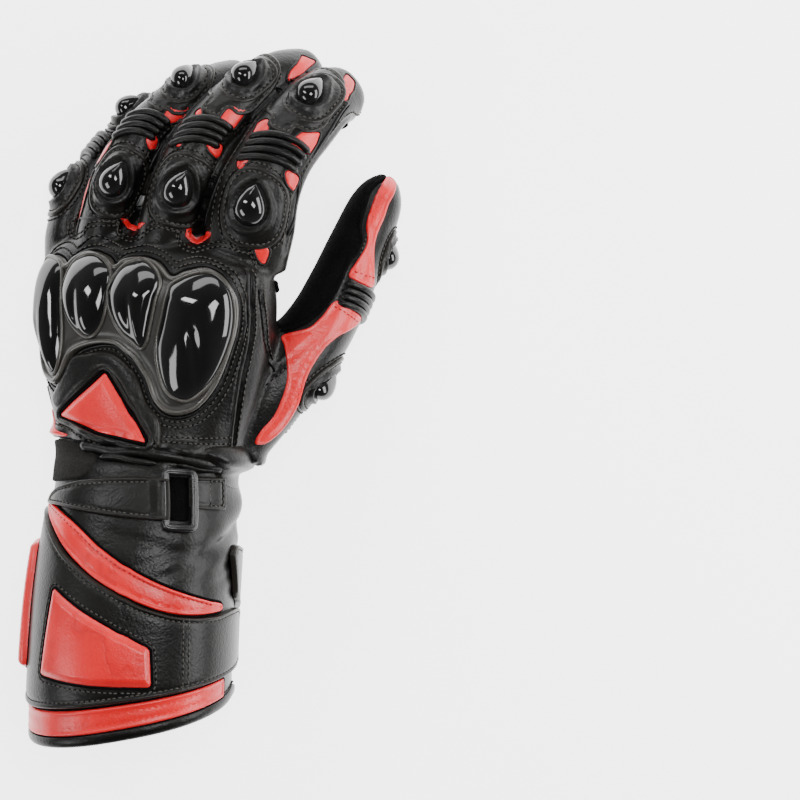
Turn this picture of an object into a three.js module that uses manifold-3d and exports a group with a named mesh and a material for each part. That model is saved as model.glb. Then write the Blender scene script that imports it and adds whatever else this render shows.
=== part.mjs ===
import * as THREE from "three";
import Module from "manifold-3d";

// A gauntlet glove for motorcycling, for the left hand, lying palm down with its back up and its fingers
// curled over to the thumb's side. Millimetres; x towards the thumb, y towards the fingertips, z up from
// the surface that it lies on.

const wasm = await Module();
wasm.setup();

// Leather, armour and trim, as heights above the outside of the leather shells.
const wall = 2;
const gap = 0.3;
const clearance = 0.7;
const panelTop = 1.8;
const flapFoot = 1.05;
const flapTop = 2.9;
const flapPadTop = 4.4;
const sidePadTop = 6.3;
const collarFoot = 0.8;
const collarTop = 2.4;
const domeTop = 6.6;
const frameTop = 2.8;
const knuckleTop = 9;
const ribTop = 2.6;
const tipPatchTop = 1.5;

// The shells are cut where the cuff meets the hand and where the binding closes the cuff's mouth.
const wristSeam = 111.5;
const mouth = 2.6;
const bindingFrom = -1.4;

// How far apart the rows of a panel may lie, so that it clears the curved leather under it.
const rowSpacing = 10;

// The design's middle of the table under the whole glove, which becomes the origin.
const tableMiddle = { x: 3.4, y: 4.5 };

// The soft tubes that the glove is made of. A row is one section: its middle, its half width across the
// hand, its half height from palm to back, and how far its back rolls towards the little finger.
const tubeTables = {
  arm: {
    power: 2.45,
    tip: 15,
    rest: flapPadTop,
    cut: { slant: 11, bow: 7, fades: 88 },
    rows: [
      { x: -30.5, y: -132, z: 42, width: 42.5, height: 38.5, roll: 0 },
      { x: -30.2, y: -114, z: 42, width: 42.2, height: 38.3, roll: 0 },
      { x: -28.8, y: -88, z: 41.5, width: 41.6, height: 37, roll: 2 },
      { x: -26.4, y: -62, z: 41, width: 40.6, height: 34.5, roll: 4 },
      { x: -25, y: -44, z: 40, width: 39.2, height: 31.5, roll: 6 },
      { x: -24.2, y: -28, z: 39.5, width: 38.6, height: 28.5, roll: 9 },
      { x: -22, y: -12, z: 39, width: 43, height: 27, roll: 12 },
      { x: -20.5, y: 6, z: 38.5, width: 48.5, height: 26, roll: 16 },
      { x: -20, y: 26, z: 37.5, width: 53, height: 25.2, roll: 21 },
      { x: -20, y: 44, z: 37.6, width: 55, height: 23.7, roll: 24 },
      { x: -19, y: 58, z: 38.4, width: 54, height: 20, roll: 26 },
      { x: -17, y: 72.5, z: 39, width: 49, height: 15, roll: 27 },
    ],
  },
  index: {
    power: 2.2,
    tip: 10,
    rest: tipPatchTop,
    rows: [
      { x: 19.5, y: 55.9, z: 52, width: 16, height: 12, roll: 8 },
      { x: 21.3, y: 72.5, z: 56, width: 18.5, height: 13, roll: 10 },
      { x: 25, y: 88.5, z: 57, width: 17.3, height: 13, roll: 12 },
      { x: 32.9, y: 104, z: 56, width: 15.4, height: 12.5, roll: 14 },
      { x: 43.4, y: 118.8, z: 49, width: 15.2, height: 11.5, roll: 18 },
      { x: 53.4, y: 129.5, z: 39, width: 13.6, height: 10.5, roll: 22 },
      { x: 64.3, y: 133.9, z: 26, width: 11.3, height: 9.5, roll: 26 },
    ],
  },
  middle: {
    power: 2.2,
    tip: 10,
    rest: tipPatchTop,
    rows: [
      { x: -17.2, y: 56.4, z: 41, width: 12.5, height: 12, roll: 20 },
      { x: -14.8, y: 72.4, z: 45, width: 12.8, height: 12.5, roll: 22 },
      { x: -8.7, y: 90.6, z: 48, width: 12.8, height: 12.5, roll: 24 },
      { x: 2.3, y: 112, z: 47, width: 12.2, height: 12, roll: 26 },
      { x: 17.5, y: 129.1, z: 40, width: 11.5, height: 11, roll: 30 },
      { x: 32.8, y: 140.5, z: 29, width: 11, height: 10.5, roll: 34 },
      { x: 47.9, y: 144.3, z: 15, width: 10, height: 9.5, roll: 36 },
    ],
  },
  ring: {
    power: 2.2,
    tip: 10,
    rest: tipPatchTop,
    rows: [
      { x: -44.4, y: 57.9, z: 29, width: 12, height: 11.5, roll: 36 },
      { x: -42.3, y: 74.1, z: 33, width: 12, height: 12, roll: 38 },
      { x: -36.4, y: 92.5, z: 37, width: 12, height: 12, roll: 40 },
      { x: -23.7, y: 114.5, z: 36, width: 11.5, height: 11.5, roll: 42 },
      { x: -7.9, y: 129.2, z: 29, width: 11, height: 10.8, roll: 44 },
      { x: 5.2, y: 137.9, z: 18, width: 10.5, height: 10, roll: 46 },
      { x: 18.6, y: 141.4, z: 7.5, width: 10, height: 9.5, roll: 46 },
    ],
  },
  little: {
    power: 2.2,
    tip: 9,
    rest: 0,
    rows: [
      { x: -60.8, y: 58.9, z: 16.2, width: 11, height: 11, roll: 52 },
      { x: -60.3, y: 75.2, z: 14.6, width: 11, height: 10.8, roll: 56 },
      { x: -53.7, y: 91.3, z: 13, width: 10.8, height: 10.5, roll: 58 },
      { x: -42.2, y: 107.8, z: 12.2, width: 10.3, height: 10, roll: 59 },
      { x: -30, y: 120.3, z: 11.2, width: 10, height: 9.6, roll: 60 },
      { x: -19.4, y: 128, z: 10, width: 9.7, height: 9.3, roll: 60 },
      { x: -9.5, y: 131.4, z: 8.3, width: 9.3, height: 9, roll: 58 },
    ],
  },
  thumb: {
    power: 2.2,
    tip: 16,
    rest: 0,
    rows: [
      { x: 14.4, y: -17.2, z: 38, width: 13, height: 15, roll: -35 },
      { x: 30.7, y: 7.7, z: 37, width: 15, height: 17, roll: -70 },
      { x: 47, y: 27.5, z: 33, width: 15, height: 15, roll: -92 },
      { x: 57.3, y: 46, z: 28, width: 14, height: 13.8, roll: -98 },
      { x: 65.4, y: 65.3, z: 21, width: 13, height: 12.6, roll: -100 },
      { x: 72.6, y: 82.2, z: 14.5, width: 11.8, height: 11.3, roll: -100 },
      { x: 79.4, y: 98, z: 8.2, width: 10.2, height: 9.2, roll: -100 },
    ],
  },
};

// Creases and gathers in the arm's leather: where each lies, how far it runs round and along the arm, its
// depth, and how far it climbs along the arm for each millimetre round it.
const armFolds = [
  { s: 107.5, t: -8, around: 30, along: 2.8, depth: 2.6, climb: 0.06 },
  { s: 103, t: 26, around: 16, along: 2.4, depth: 1.6, climb: -0.1 },
  { s: 76, t: 52, around: 15, along: 3.2, depth: 1.8, climb: 0.25 },
  { s: 66, t: 56, around: 13, along: 3, depth: 1.4, climb: 0.3 },
  { s: 104, t: 62, around: 16, along: 3, depth: 1.8, climb: 0.1 },
  { s: 78, t: -150, around: 28, along: 3.6, depth: 1.8, climb: 0.12 },
];

const signedPower = (value, power) => Math.sign(value) * Math.abs(value) ** power;

// A soft tube lofted through its rows. A place on it is s, the length along it, and t, the length round it
// from the middle of its back, positive on the thumb's side; lift is the height above the leather.
class Tube {
  constructor({ rows, power, tip, rest, cut }, folds = []) {
    this.keys = Object.keys(rows[0]);
    this.rows = rows.map((row) => Object.values(row));
    Object.assign(this, { power, tip, rest, cut, folds });
    this.steps = 24;
    this.lengths = [0];
    for (let i = 1; i <= this.steps * (rows.length - 1); i++) {
      const [from, to] = [this.middle((i - 1) / this.steps), this.middle(i / this.steps)];
      this.lengths.push(this.lengths[i - 1] + from.distanceTo(to));
    }
    this.axisLength = this.lengths.at(-1);
    this.base = this.axisLength - tip;
    this.length = this.base + (tip * Math.PI) / 2;
    this.rounds = [];
  }

  // All columns at a fractional row number, by a spline through the rows.
  blend(place) {
    const last = this.rows.length - 1;
    const i = THREE.MathUtils.clamp(Math.floor(place), 0, last - 1);
    const f = place - i;
    const row = (k) => {
      if (k < 0) return this.rows[0].map((value, column) => 2 * value - this.rows[1][column]);
      if (k > last) return this.rows[last].map((value, column) => 2 * value - this.rows[last - 1][column]);
      return this.rows[k];
    };
    const [before, here, next, after] = [row(i - 1), row(i), row(i + 1), row(i + 2)];
    return Object.fromEntries(
      this.keys.map((key, k) => {
        const [a, b, c, d] = [before[k], here[k], next[k], after[k]];
        if (f > 1) return [key, c + (f - 1) * 0.5 * (d - b)];
        const cubic = 3 * b - a - 3 * c + d;
        return [key, 0.5 * (2 * b + (c - a) * f + (2 * a - 5 * b + 4 * c - d) * f * f + cubic * f ** 3)];
      }),
    );
  }

  middle(place) {
    const { x, y, z } = this.blend(place);
    return new THREE.Vector3(x, y, z);
  }

  rowNumber(length) {
    const last = this.lengths.length - 1;
    const found = this.lengths.findIndex((mark) => mark > length);
    const i = length >= this.axisLength ? last : Math.max(1, found);
    const step = this.lengths[i] - this.lengths[i - 1];
    return (i - 1 + (length - this.lengths[i - 1]) / step) / this.steps;
  }

  section(length) {
    const place = this.rowNumber(length);
    const { width, height, roll } = this.blend(place);
    const along = this.middle(place + 0.01).sub(this.middle(place - 0.01)).normalize();
    const turn = THREE.MathUtils.degToRad(roll);
    const up = new THREE.Vector3(-Math.sin(turn), 0, Math.cos(turn));
    up.addScaledVector(along, -up.dot(along)).normalize();
    const side = new THREE.Vector3().crossVectors(along, up);
    return { centre: this.middle(place), along, up, side, width, height };
  }

  // Running lengths round half a section from the back's middle, kept for every 3 mm along the tube.
  round(s) {
    const key = Math.max(0, Math.round(Math.min(s, this.base) / 3));
    if (!this.rounds[key]) {
      const { width, height } = this.section(key * 3);
      const corner = (i) => {
        const angle = (i * Math.PI) / 48;
        const x = width * signedPower(Math.sin(angle), 2 / this.power);
        return new THREE.Vector2(x, height * signedPower(Math.cos(angle), 2 / this.power));
      };
      this.rounds[key] = [0];
      for (let i = 1; i <= 48; i++) {
        this.rounds[key].push(this.rounds[key][i - 1] + corner(i).distanceTo(corner(i - 1)));
      }
    }
    return this.rounds[key];
  }

  halfRound(s) {
    return this.round(s)[48];
  }

  // The angle round a section at t, which may run on past the middle of the palm.
  angle(s, t) {
    const lengths = this.round(s);
    const past = Math.abs(t) > lengths[48];
    const reach = past ? 2 * lengths[48] - Math.abs(t) : Math.abs(t);
    const i = Math.max(1, lengths.findIndex((mark) => mark >= reach));
    const turn = ((i - 1 + (reach - lengths[i - 1]) / (lengths[i] - lengths[i - 1])) * Math.PI) / 48;
    return Math.sign(t) * (past ? 2 * Math.PI - turn : turn);
  }

  foldDepth(s, t) {
    return this.folds.reduce((sum, fold) => {
      const along = (s - fold.s - (t - fold.t) * fold.climb) / fold.along;
      const around = (t - fold.t) / fold.around;
      return sum + fold.depth * Math.exp(-along * along - around * around);
    }, 0);
  }

  at(s, t, lift = 0) {
    const turn = s > this.base ? Math.min(Math.PI / 2, (s - this.base) / this.tip) : 0;
    const length = s > this.base ? this.base + (this.tip + lift) * Math.sin(turn) : s;
    const { centre, along, up, side, width, height } = this.section(length);
    const angle = this.angle(s, t);
    const raised = lift - this.foldDepth(s, t);
    const acrossPart = signedPower(Math.sin(angle), 2 / this.power);
    const backPart = signedPower(Math.cos(angle), 2 / this.power);
    const across = (width + raised) * Math.cos(turn) * acrossPart;
    const point = centre.addScaledVector(side, across);
    point.addScaledVector(up, (height + raised) * Math.cos(turn) * backPart);
    if (this.cut && s < this.cut.fades) {
      const fade = 1 - s / this.cut.fades;
      const slant = across * Math.tan(THREE.MathUtils.degToRad(this.cut.slant));
      point.addScaledVector(along, fade * slant - fade * fade * this.cut.bow * Math.abs(backPart));
    }
    point.z = Math.max(point.z, this.rest - lift);
    return point;
  }
}

const arm = new Tube(tubeTables.arm, armFolds);
const fingers = Object.fromEntries(
  ["index", "middle", "ring", "little", "thumb"].map((name) => [name, new Tube(tubeTables[name])]),
);

const lerp = THREE.MathUtils.lerp;
const spread = (from, to, count) => Array.from({ length: count + 1 }, (_, i) => lerp(from, to, i / count));

// A closed body from a list of points and faces, turned so that its faces point outwards.
function body(points, faces) {
  let volume = 0;
  for (const [a, b, c] of faces) {
    volume += new THREE.Vector3().crossVectors(points[a], points[b]).dot(points[c]);
  }
  const turned = volume < 0 ? faces.map(([a, b, c]) => [a, c, b]) : faces;
  const geometry = new THREE.BufferGeometry().setFromPoints(points);
  geometry.setIndex(turned.flat());
  return geometry;
}

// A slab between two sheets of points with equal rows; a looped slab closes on itself along its rows.
function slab(upper, lower, looped = false) {
  const [rows, columns] = [upper.length, upper[0].length];
  const points = [...upper.flat(), ...lower.flat()];
  const top = (i, j) => i * columns + (j % columns);
  const under = (i, j) => top(i, j) + rows * columns;
  const faces = [];
  const quad = (a, b, c, d) => faces.push([a, b, c], [a, c, d]);
  const lastColumn = looped ? columns : columns - 1;
  for (let i = 0; i < rows - 1; i++) {
    for (let j = 0; j < lastColumn; j++) {
      quad(top(i, j), top(i, j + 1), top(i + 1, j + 1), top(i + 1, j));
      quad(under(i, j), under(i + 1, j), under(i + 1, j + 1), under(i, j + 1));
    }
    if (looped) continue;
    quad(top(i, 0), top(i + 1, 0), under(i + 1, 0), under(i, 0));
    quad(top(i + 1, lastColumn), top(i, lastColumn), under(i, lastColumn), under(i + 1, lastColumn));
  }
  for (let j = 0; j < lastColumn; j++) {
    quad(top(0, j + 1), top(0, j), under(0, j), under(0, j + 1));
    quad(top(rows - 1, j), top(rows - 1, j + 1), under(rows - 1, j + 1), under(rows - 1, j));
  }
  return body(points, faces);
}

// Rows of a table with more rows put between them where they lie far apart.
function filled(table, spacing) {
  const key = Object.keys(table[0])[0];
  return table.flatMap((row, i) => {
    if (i === 0) return [row];
    const before = table[i - 1];
    const count = Math.ceil(Math.abs(row[key] - before[key]) / spacing);
    const between = (part) => Object.keys(row).map((k) => [k, lerp(before[k], row[k], part)]);
    return spread(0, 1, count).slice(1).map((part) => Object.fromEntries(between(part)));
  });
}

// A panel on a tube, from rows that each give its two edges at one place. Rows run round the tube, with
// edges along it, unless they are stated along the tube. Its top slopes down to the rim.
function panel(tube, table, shape) {
  const { under = clearance, over = panelTop, columns = 4, rim = 0.75, along = false, rib } = shape;
  const rows = filled(table, rowSpacing);
  const keys = Object.keys(rows[0]);
  const sheet = (isTop) =>
    rows.map((row, i) => {
      const [place, from, to] = keys.map((key) => row[key]);
      const endRow = i === 0 || i === rows.length - 1;
      return spread(0, 1, columns).map((part, j) => {
        const edge = endRow || j === 0 || j === columns;
        const edgeHeight = lerp(under, over, rim);
        const height = rib ? lerp(over, edgeHeight, rib(i, j)) : over;
        const lift = isTop ? (edge && !rib ? edgeHeight : height) : under;
        const [s, t] = along ? [place, lerp(from, to, part)] : [lerp(from, to, part), place];
        return tube.at(s, t, lift);
      });
    });
  return slab(sheet(true), sheet(false));
}

// A raised oval on a tube: rings of points that grow from its middle, with the height of each ring.
function oval(tube, { s, t, length, width, under, over, power = 2, sides = 12, rings, point = 0 }) {
  const sheet = (isTop) =>
    rings.map(({ size, rise }) =>
      spread(0, 2 * Math.PI, sides)
        .slice(0, sides)
        .map((angle) => {
          const along = size * length * signedPower(Math.cos(angle), 2 / power);
          const narrow = 1 - point * (along / length < 0 ? -along / length : 0);
          const around = size * width * signedPower(Math.sin(angle), 2 / power) * narrow;
          return tube.at(s + along, t + around, isTop ? lerp(under, over, rise) : under);
        }),
    );
  const [upper, lower] = [sheet(true), sheet(false)];
  const points = [...upper.flat(), ...lower.flat()];
  const middles = [points.length, points.length + 1];
  points.push(tube.at(s, t, over), tube.at(s, t, under));
  const faces = [];
  const ringStart = (i, side) => (i + side * rings.length) * sides;
  for (let j = 0; j < sides; j++) {
    const k = (j + 1) % sides;
    faces.push([middles[0], ringStart(0, 0) + j, ringStart(0, 0) + k]);
    faces.push([middles[1], ringStart(0, 1) + k, ringStart(0, 1) + j]);
    for (let i = 0; i < rings.length - 1; i++) {
      const [a, b] = [ringStart(i, 0), ringStart(i + 1, 0)];
      faces.push([a + j, b + j, b + k], [a + j, b + k, a + k]);
      const [c, d] = [ringStart(i, 1), ringStart(i + 1, 1)];
      faces.push([c + j, d + k, d + j], [c + j, c + k, d + k]);
    }
    const [rim, foot] = [ringStart(rings.length - 1, 0), ringStart(rings.length - 1, 1)];
    faces.push([rim + j, foot + j, foot + k], [rim + j, foot + k, rim + k]);
  }
  return body(points, faces);
}

const shellRings = [
  { size: 0.45, rise: 0.9 },
  { size: 0.82, rise: 0.55 },
  { size: 1, rise: 0.12 },
];
const domeRings = [
  { size: 0.6, rise: 0.82 },
  { size: 1, rise: 0.12 },
];
const flatRings = [
  { size: 0.62, rise: 1 },
  { size: 1, rise: 0.6 },
];

// A filled length of a tube with flat ends; with no end given it runs on round the tip.
function rod(tube, { from, to, step, sides, lift = 0, extra = [] }) {
  const straight = extra[0] ?? to ?? tube.base;
  const stations = [...spread(from, straight, Math.round((straight - from) / step)), ...extra.slice(1)];
  if (to === undefined) {
    for (const turn of [32, 62]) stations.push(tube.base + tube.tip * THREE.MathUtils.degToRad(turn));
  }
  const points = stations.flatMap((s) => {
    const half = tube.halfRound(s);
    return spread(-half, half, sides).slice(0, sides).map((t) => tube.at(s, t, lift));
  });
  const endCentre = to === undefined ? tube.at(tube.length, 0, lift) : average(points.slice(-sides));
  points.push(average(points.slice(0, sides)), endCentre);
  const faces = [];
  const last = (stations.length - 1) * sides;
  for (let j = 0; j < sides; j++) {
    const k = (j + 1) % sides;
    for (let i = 0; i < last; i += sides) {
      faces.push([i + j, i + k, i + sides + k], [i + j, i + sides + k, i + sides + j]);
    }
    faces.push([last + sides, k, j], [last + sides + 1, last + j, last + k]);
  }
  return body(points, faces);
}

function average(points) {
  return points.reduce((sum, point) => sum.add(point), new THREE.Vector3()).divideScalar(points.length);
}

// Joining and cutting of closed bodies.
function solid(geometry) {
  const vertProperties = new Float32Array(geometry.attributes.position.array);
  const triVerts = new Uint32Array(geometry.index.array);
  return new wasm.Manifold(new wasm.Mesh({ numProp: 3, vertProperties, triVerts }));
}

function cutFrom(geometry, ...tools) {
  const result = tools.reduce((left, tool) => left.subtract(solid(tool)), solid(geometry)).getMesh();
  const cut = new THREE.BufferGeometry();
  cut.setAttribute("position", new THREE.BufferAttribute(Float32Array.from(result.vertProperties), 3));
  cut.setIndex(new THREE.BufferAttribute(Uint32Array.from(result.triVerts), 1));
  return cut;
}

const materials = {
  leather: { color: 0x1c1b1a, roughness: 0.55, metalness: 0 },
  redLeather: { color: 0xd2232a, roughness: 0.5, metalness: 0 },
  armour: { color: 0x0c0c0d, roughness: 0.14, metalness: 0 },
  frame: { color: 0x232325, roughness: 0.42, metalness: 0 },
  suede: { color: 0x0e0d0d, roughness: 0.95, metalness: 0 },
  plastic: { color: 0x131314, roughness: 0.35, metalness: 0 },
};

const glove = new THREE.Group();
glove.position.set(-tableMiddle.x, -tableMiddle.y, 0);

function add(name, geometry, finish) {
  const mesh = new THREE.Mesh(geometry, new THREE.MeshStandardMaterial(materials[finish]));
  mesh.name = name;
  glove.add(mesh);
}

// Leather shells: each is a walled tube, and the hand opens into the fingers and the thumb.
const armInside = { step: 20, sides: 18, lift: -wall };
const fingerInside = { from: -1, step: 18, sides: 8, lift: -wall };
const thumbInside = { ...fingerInside, from: wall };
const insideOf = (tube) => rod(tube, tube === fingers.thumb ? thumbInside : fingerInside);
const insides = Object.values(fingers).map(insideOf);

function addShells() {
  const gathers = [96, 100, 103, 105.2, 107.5, wristSeam];
  const cuff = rod(arm, { from: mouth, to: wristSeam, step: 13, sides: 28, extra: gathers });
  const cuffInside = { ...armInside, from: -10, to: wristSeam + 10, extra: [...gathers, wristSeam + 10] };
  add("cuff", cutFrom(cuff, rod(arm, cuffInside)), "leather");
  const hand = rod(arm, { from: wristSeam + gap, step: 11, sides: 28 });
  add("hand", cutFrom(hand, rod(arm, { ...armInside, from: wristSeam - 10 }), ...insides), "leather");
  const handSpace = rod(arm, { from: 60, step: 11, sides: 28, lift: gap });
  Object.entries(fingers).forEach(([name, tube], i) => {
    const outside = rod(tube, { from: 0, step: 12, sides: 12 });
    add(name === "thumb" ? name : `${name}_finger`, cutFrom(outside, insides[i], handSpace), "leather");
  });
}

// Knuckle guard: a frame moulded to the back of the hand, and one shell over each knuckle.
function addKnuckleGuard() {
  const frameRows = [
    { t: -49, from: 152, to: 186 },
    { t: -45, from: 141, to: 190 },
    { t: -39, from: 137, to: 191 },
    { t: -28, from: 152, to: 193 },
    { t: -17, from: 154, to: 193 },
    { t: -6, from: 149, to: 191 },
    { t: 1, from: 143, to: 193 },
    { t: 7, from: 130, to: 193 },
    { t: 14, from: 125, to: 191 },
    { t: 24, from: 125, to: 188 },
    { t: 35, from: 132, to: 191 },
    { t: 43, from: 144, to: 190 },
    { t: 49, from: 162, to: 183 },
  ];
  add("knuckle_frame", panel(arm, frameRows, { over: frameTop, columns: 4 }), "frame");
  const shells = [
    { name: "index", s: 161, t: 31, length: 27.5, width: 15.2, point: 0.45 },
    { name: "middle", s: 173.5, t: 3.2, length: 20, width: 11.5, point: 0.5 },
    { name: "ring", s: 175.5, t: -20, length: 16.5, width: 10.8, point: 0.3 },
    { name: "little", s: 169.5, t: -40, length: 20, width: 8.6, point: 0.2 },
  ];
  for (const { name, ...shape } of shells) {
    const size = { ...shape, under: frameTop + gap, over: knuckleTop, rings: shellRings };
    add(`${name}_knuckle_shell`, oval(arm, size), "armour");
  }
}

// Finger armour: a padded collar with a dome on it at each joint, and a ribbed stretch panel between them.
const fingerArmour = [
  { on: "index", row: 1, s: 26, t: 3.3, length: 15.5, width: 14.5, dome: 8.5 },
  { on: "index", row: 2, s: 76, t: 0.8, length: 13.5, width: 11.5, dome: 7 },
  { on: "middle", row: 1, s: 35, t: 4.5, length: 14.5, width: 12.5, dome: 7.5 },
  { on: "middle", row: 2, s: 87, t: 0.5, length: 12.5, width: 10, dome: 6.5 },
  { on: "ring", row: 1, s: 38, t: 4.5, length: 14, width: 11.5, dome: 7 },
  { on: "ring", row: 2, s: 86, t: 2, length: 12, width: 9.5, dome: 6.3 },
  { on: "little", row: 1, s: 31, t: -3, length: 12.5, width: 10.5, dome: 6.5 },
  { on: "little", row: 2, s: 72, t: -2.5, length: 11, width: 9, dome: 5.8 },
  { on: "thumb", row: 1, s: 41, t: 4.5, length: 15, width: 12, dome: 7.5 },
  { on: "thumb", row: 2, s: 103, t: 2.5, length: 13, width: 10, dome: 6.8 },
];
const collarPower = 2.3;
const domeShift = { s: 1, t: -1.5 };
const domeNarrow = 0.76;
const domePoint = 0.4;
const stretchPanels = [
  { on: "index", from: 43.5, to: 57, left: -12, right: 15 },
  { on: "middle", from: 52, to: 66, left: -8, right: 13 },
  { on: "ring", from: 55, to: 69, left: -6, right: 13 },
  { on: "little", from: 46, to: 58, left: -11, right: 6 },
  { on: "thumb", from: 70, to: 84, left: -21, right: 13 },
];

function addFingerArmour() {
  for (const { on, row, s, t, length, width, dome } of fingerArmour) {
    const tube = fingers[on];
    const collar = { s, t, length, width, under: collarFoot, over: collarTop, power: collarPower };
    add(`${on}_collar_${row}`, oval(tube, { ...collar, rings: flatRings, sides: 10 }), "leather");
    const [domeS, domeT] = [s + domeShift.s, t + domeShift.t];
    const cap = { s: domeS, t: domeT, length: dome, width: domeNarrow * dome, point: domePoint };
    const heights = { under: collarTop + gap, over: domeTop };
    add(`${on}_dome_${row}`, oval(tube, { ...cap, ...heights, rings: domeRings, sides: 8 }), "armour");
  }
  for (const { on, from, to, left, right } of stretchPanels) {
    const rows = spread(from, to, 6).map((s) => ({ s, left, right }));
    const shape = { over: ribTop, along: true, columns: 5, rim: 0.3, rib: (i) => (i + 1) % 2 };
    add(`${on}_stretch_panel`, panel(fingers[on], rows, shape), "leather");
  }
}

// Trim on the back of the hand and across the wrist.
function addWrist() {
  const handPad = [
    { t: -36, from: 121, to: 123.5 },
    { t: -30, from: 119, to: 128 },
    { t: -20, from: 117, to: 136 },
    { t: -13, from: 115.5, to: 141 },
    { t: -8, from: 114.8, to: 137 },
    { t: 0, from: 114, to: 125 },
    { t: 4.5, from: 113.5, to: 117.5 },
  ];
  add("red_hand_pad", panel(arm, handPad, {}), "redLeather");
  const strap = [
    { t: -54, from: 87.5, to: 90 },
    { t: -45, from: 86.5, to: 93 },
    { t: -32, from: 85.5, to: 96.5 },
    { t: -18, from: 83.5, to: 98.3 },
    { t: -3, from: 81.5, to: 99 },
    { t: 10, from: 79.8, to: 99.2 },
    { t: 17, from: 79.8, to: 99.2 },
  ];
  add("wrist_strap", panel(arm, strap, { columns: 3 }), "leather");
  const tab = [
    { t: 23.8, from: 86.5, to: 101 },
    { t: 33, from: 86.8, to: 101.5 },
    { t: 41, from: 87, to: 101.8 },
    { t: 47.5, from: 87, to: 101.8 },
  ];
  add("ring_tab", panel(arm, tab, { columns: 4 }), "leather");
  const [low, high] = [panelTop + gap, panelTop + gap + 2.6];
  const plate = (from, to, left, right, shape) =>
    panel(arm, spread(left, right, 2).map((t) => ({ t, from, to })), { columns: 3, ...shape });
  const slot = { under: low - 1, over: high + 1, rim: 1 };
  const frame = cutFrom(
    plate(76.5, 104.5, 13, 27.5, { under: low, over: high }),
    plate(79.5, 101.5, 16.6, 23.9, slot),
  );
  add("strap_ring", frame, "plastic");
  const ribs = [
    { t: -66, from: 88, to: 110.5 },
    { t: -80, from: 87, to: 110.5 },
    { t: -96, from: 85.5, to: 110 },
    { t: -112, from: 84.5, to: 108.5 },
    { t: -126, from: 84.5, to: 106.5 },
    { t: -138, from: 87, to: 104 },
  ];
  const ribbed = { columns: 8, over: ribTop, rim: 0.3, rib: (i, j) => (j + 1) % 2 };
  add("wrist_stretch_panel", panel(arm, ribs, ribbed), "leather");
}

// Cuff: a flap that closes round the little finger's side to the palm, its pads, red bands and binding.
function addCuff() {
  const redBand = [
    { t: -48, from: 84.5, to: 85.8 },
    { t: -45, from: 82.5, to: 85.8 },
    { t: -36, from: 75.5, to: 83.8 },
    { t: -27, from: 67.5, to: 80.5 },
    { t: -20, from: 63, to: 77 },
    { t: -12, from: 58, to: 70.5 },
    { t: -2, from: 53, to: 63.5 },
    { t: 7, from: 48.5, to: 59.5 },
    { t: 17, from: 44.5, to: 55.5 },
    { t: 27, from: 42.8, to: 52 },
    { t: 37, from: 42, to: 49 },
    { t: 44, from: 44, to: 47.5 },
  ];
  add("upper_red_band", panel(arm, redBand, { columns: 3 }), "redLeather");
  const flap = [
    { t: 76, from: 18, to: 37 },
    { t: 72, from: 14, to: 40.5 },
    { t: 62, from: 12.5, to: 42.5 },
    { t: 50, from: 12.5, to: 42.5 },
    { t: 40, from: 12.5, to: 41.2 },
    { t: 30, from: 12.5, to: 41.6 },
    { t: 20, from: 12.5, to: 43.2 },
    { t: 7, from: 12.5, to: 47.8 },
    { t: -2, from: 12.5, to: 52.3 },
    { t: -12, from: 12.5, to: 57.3 },
    { t: -20, from: 12.5, to: 62.3 },
    { t: -27, from: 12.5, to: 66.8 },
    { t: -36, from: 12.5, to: 74.8 },
    { t: -45, from: 12.5, to: 81.8 },
    { t: -52, from: 13, to: 84.6 },
    { t: -62, from: 14, to: 85 },
    { t: -75, from: 15, to: 84.5 },
    { t: -90, from: 17, to: 82 },
    { t: -105, from: 19, to: 77 },
    { t: -125, from: 22, to: 73 },
    { t: -145, from: 26, to: 71 },
    { t: -165, from: 32, to: 70 },
    { t: -178, from: 40, to: 71 },
    { t: -190, from: 45, to: 73 },
    { t: -197, from: 50, to: 69 },
  ];
  add("closing_flap", panel(arm, flap, { under: flapFoot, over: flapTop, rim: 0.8 }), "leather");
  const onFlap = { under: flapTop + gap, over: flapPadTop, columns: 4 };
  const backPad = [
    { t: -37, from: 22.5, to: 26 },
    { t: -31.5, from: 21, to: 52 },
    { t: -20, from: 20.5, to: 45.7 },
    { t: -10, from: 20, to: 40 },
    { t: 0, from: 19.5, to: 34.4 },
    { t: 10, from: 19.5, to: 28.8 },
  ];
  add("flap_red_pad", panel(arm, backPad, onFlap), "redLeather");
  const sidePad = [
    { t: -52, from: 29, to: 65 },
    { t: -57, from: 24.5, to: 70 },
    { t: -65, from: 23, to: 71.5 },
    { t: -71, from: 26, to: 68 },
  ];
  const raised = { under: flapTop + gap, over: sidePadTop, columns: 6, rim: 0.5 };
  add("side_red_pad", panel(arm, sidePad, raised), "redLeather");
  const palmPad = [
    { t: -84, from: 34, to: 70 },
    { t: -95, from: 32, to: 65 },
    { t: -107, from: 30, to: 59 },
    { t: -122, from: 28, to: 51 },
    { t: -136, from: 26, to: 44 },
  ];
  add("flap_palm_pad", panel(arm, palmPad, onFlap), "leather");
  const lowerBand = spread(48, -80, 12).map((t) => ({ t, from: 3.5, to: 11.5 }));
  add("lower_red_band", panel(arm, lowerBand, { columns: 2, over: 1.5 }), "redLeather");
  const profile = [
    { s: mouth - gap, lift: -wall },
    { s: bindingFrom + 0.6, lift: -wall },
    { s: bindingFrom, lift: -wall / 2 },
    { s: bindingFrom + 0.6, lift: 0.8 },
    { s: mouth - gap, lift: 0.8 },
  ];
  const rim = spread(-arm.halfRound(0), arm.halfRound(0), 32).slice(0, 32);
  const loops = profile.map(({ s, lift }) => rim.map((t) => arm.at(s, t, lift)));
  add("rim_binding", slab(loops.slice(2), [loops[2], loops[1], loops[0]], true), "leather");
}

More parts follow.
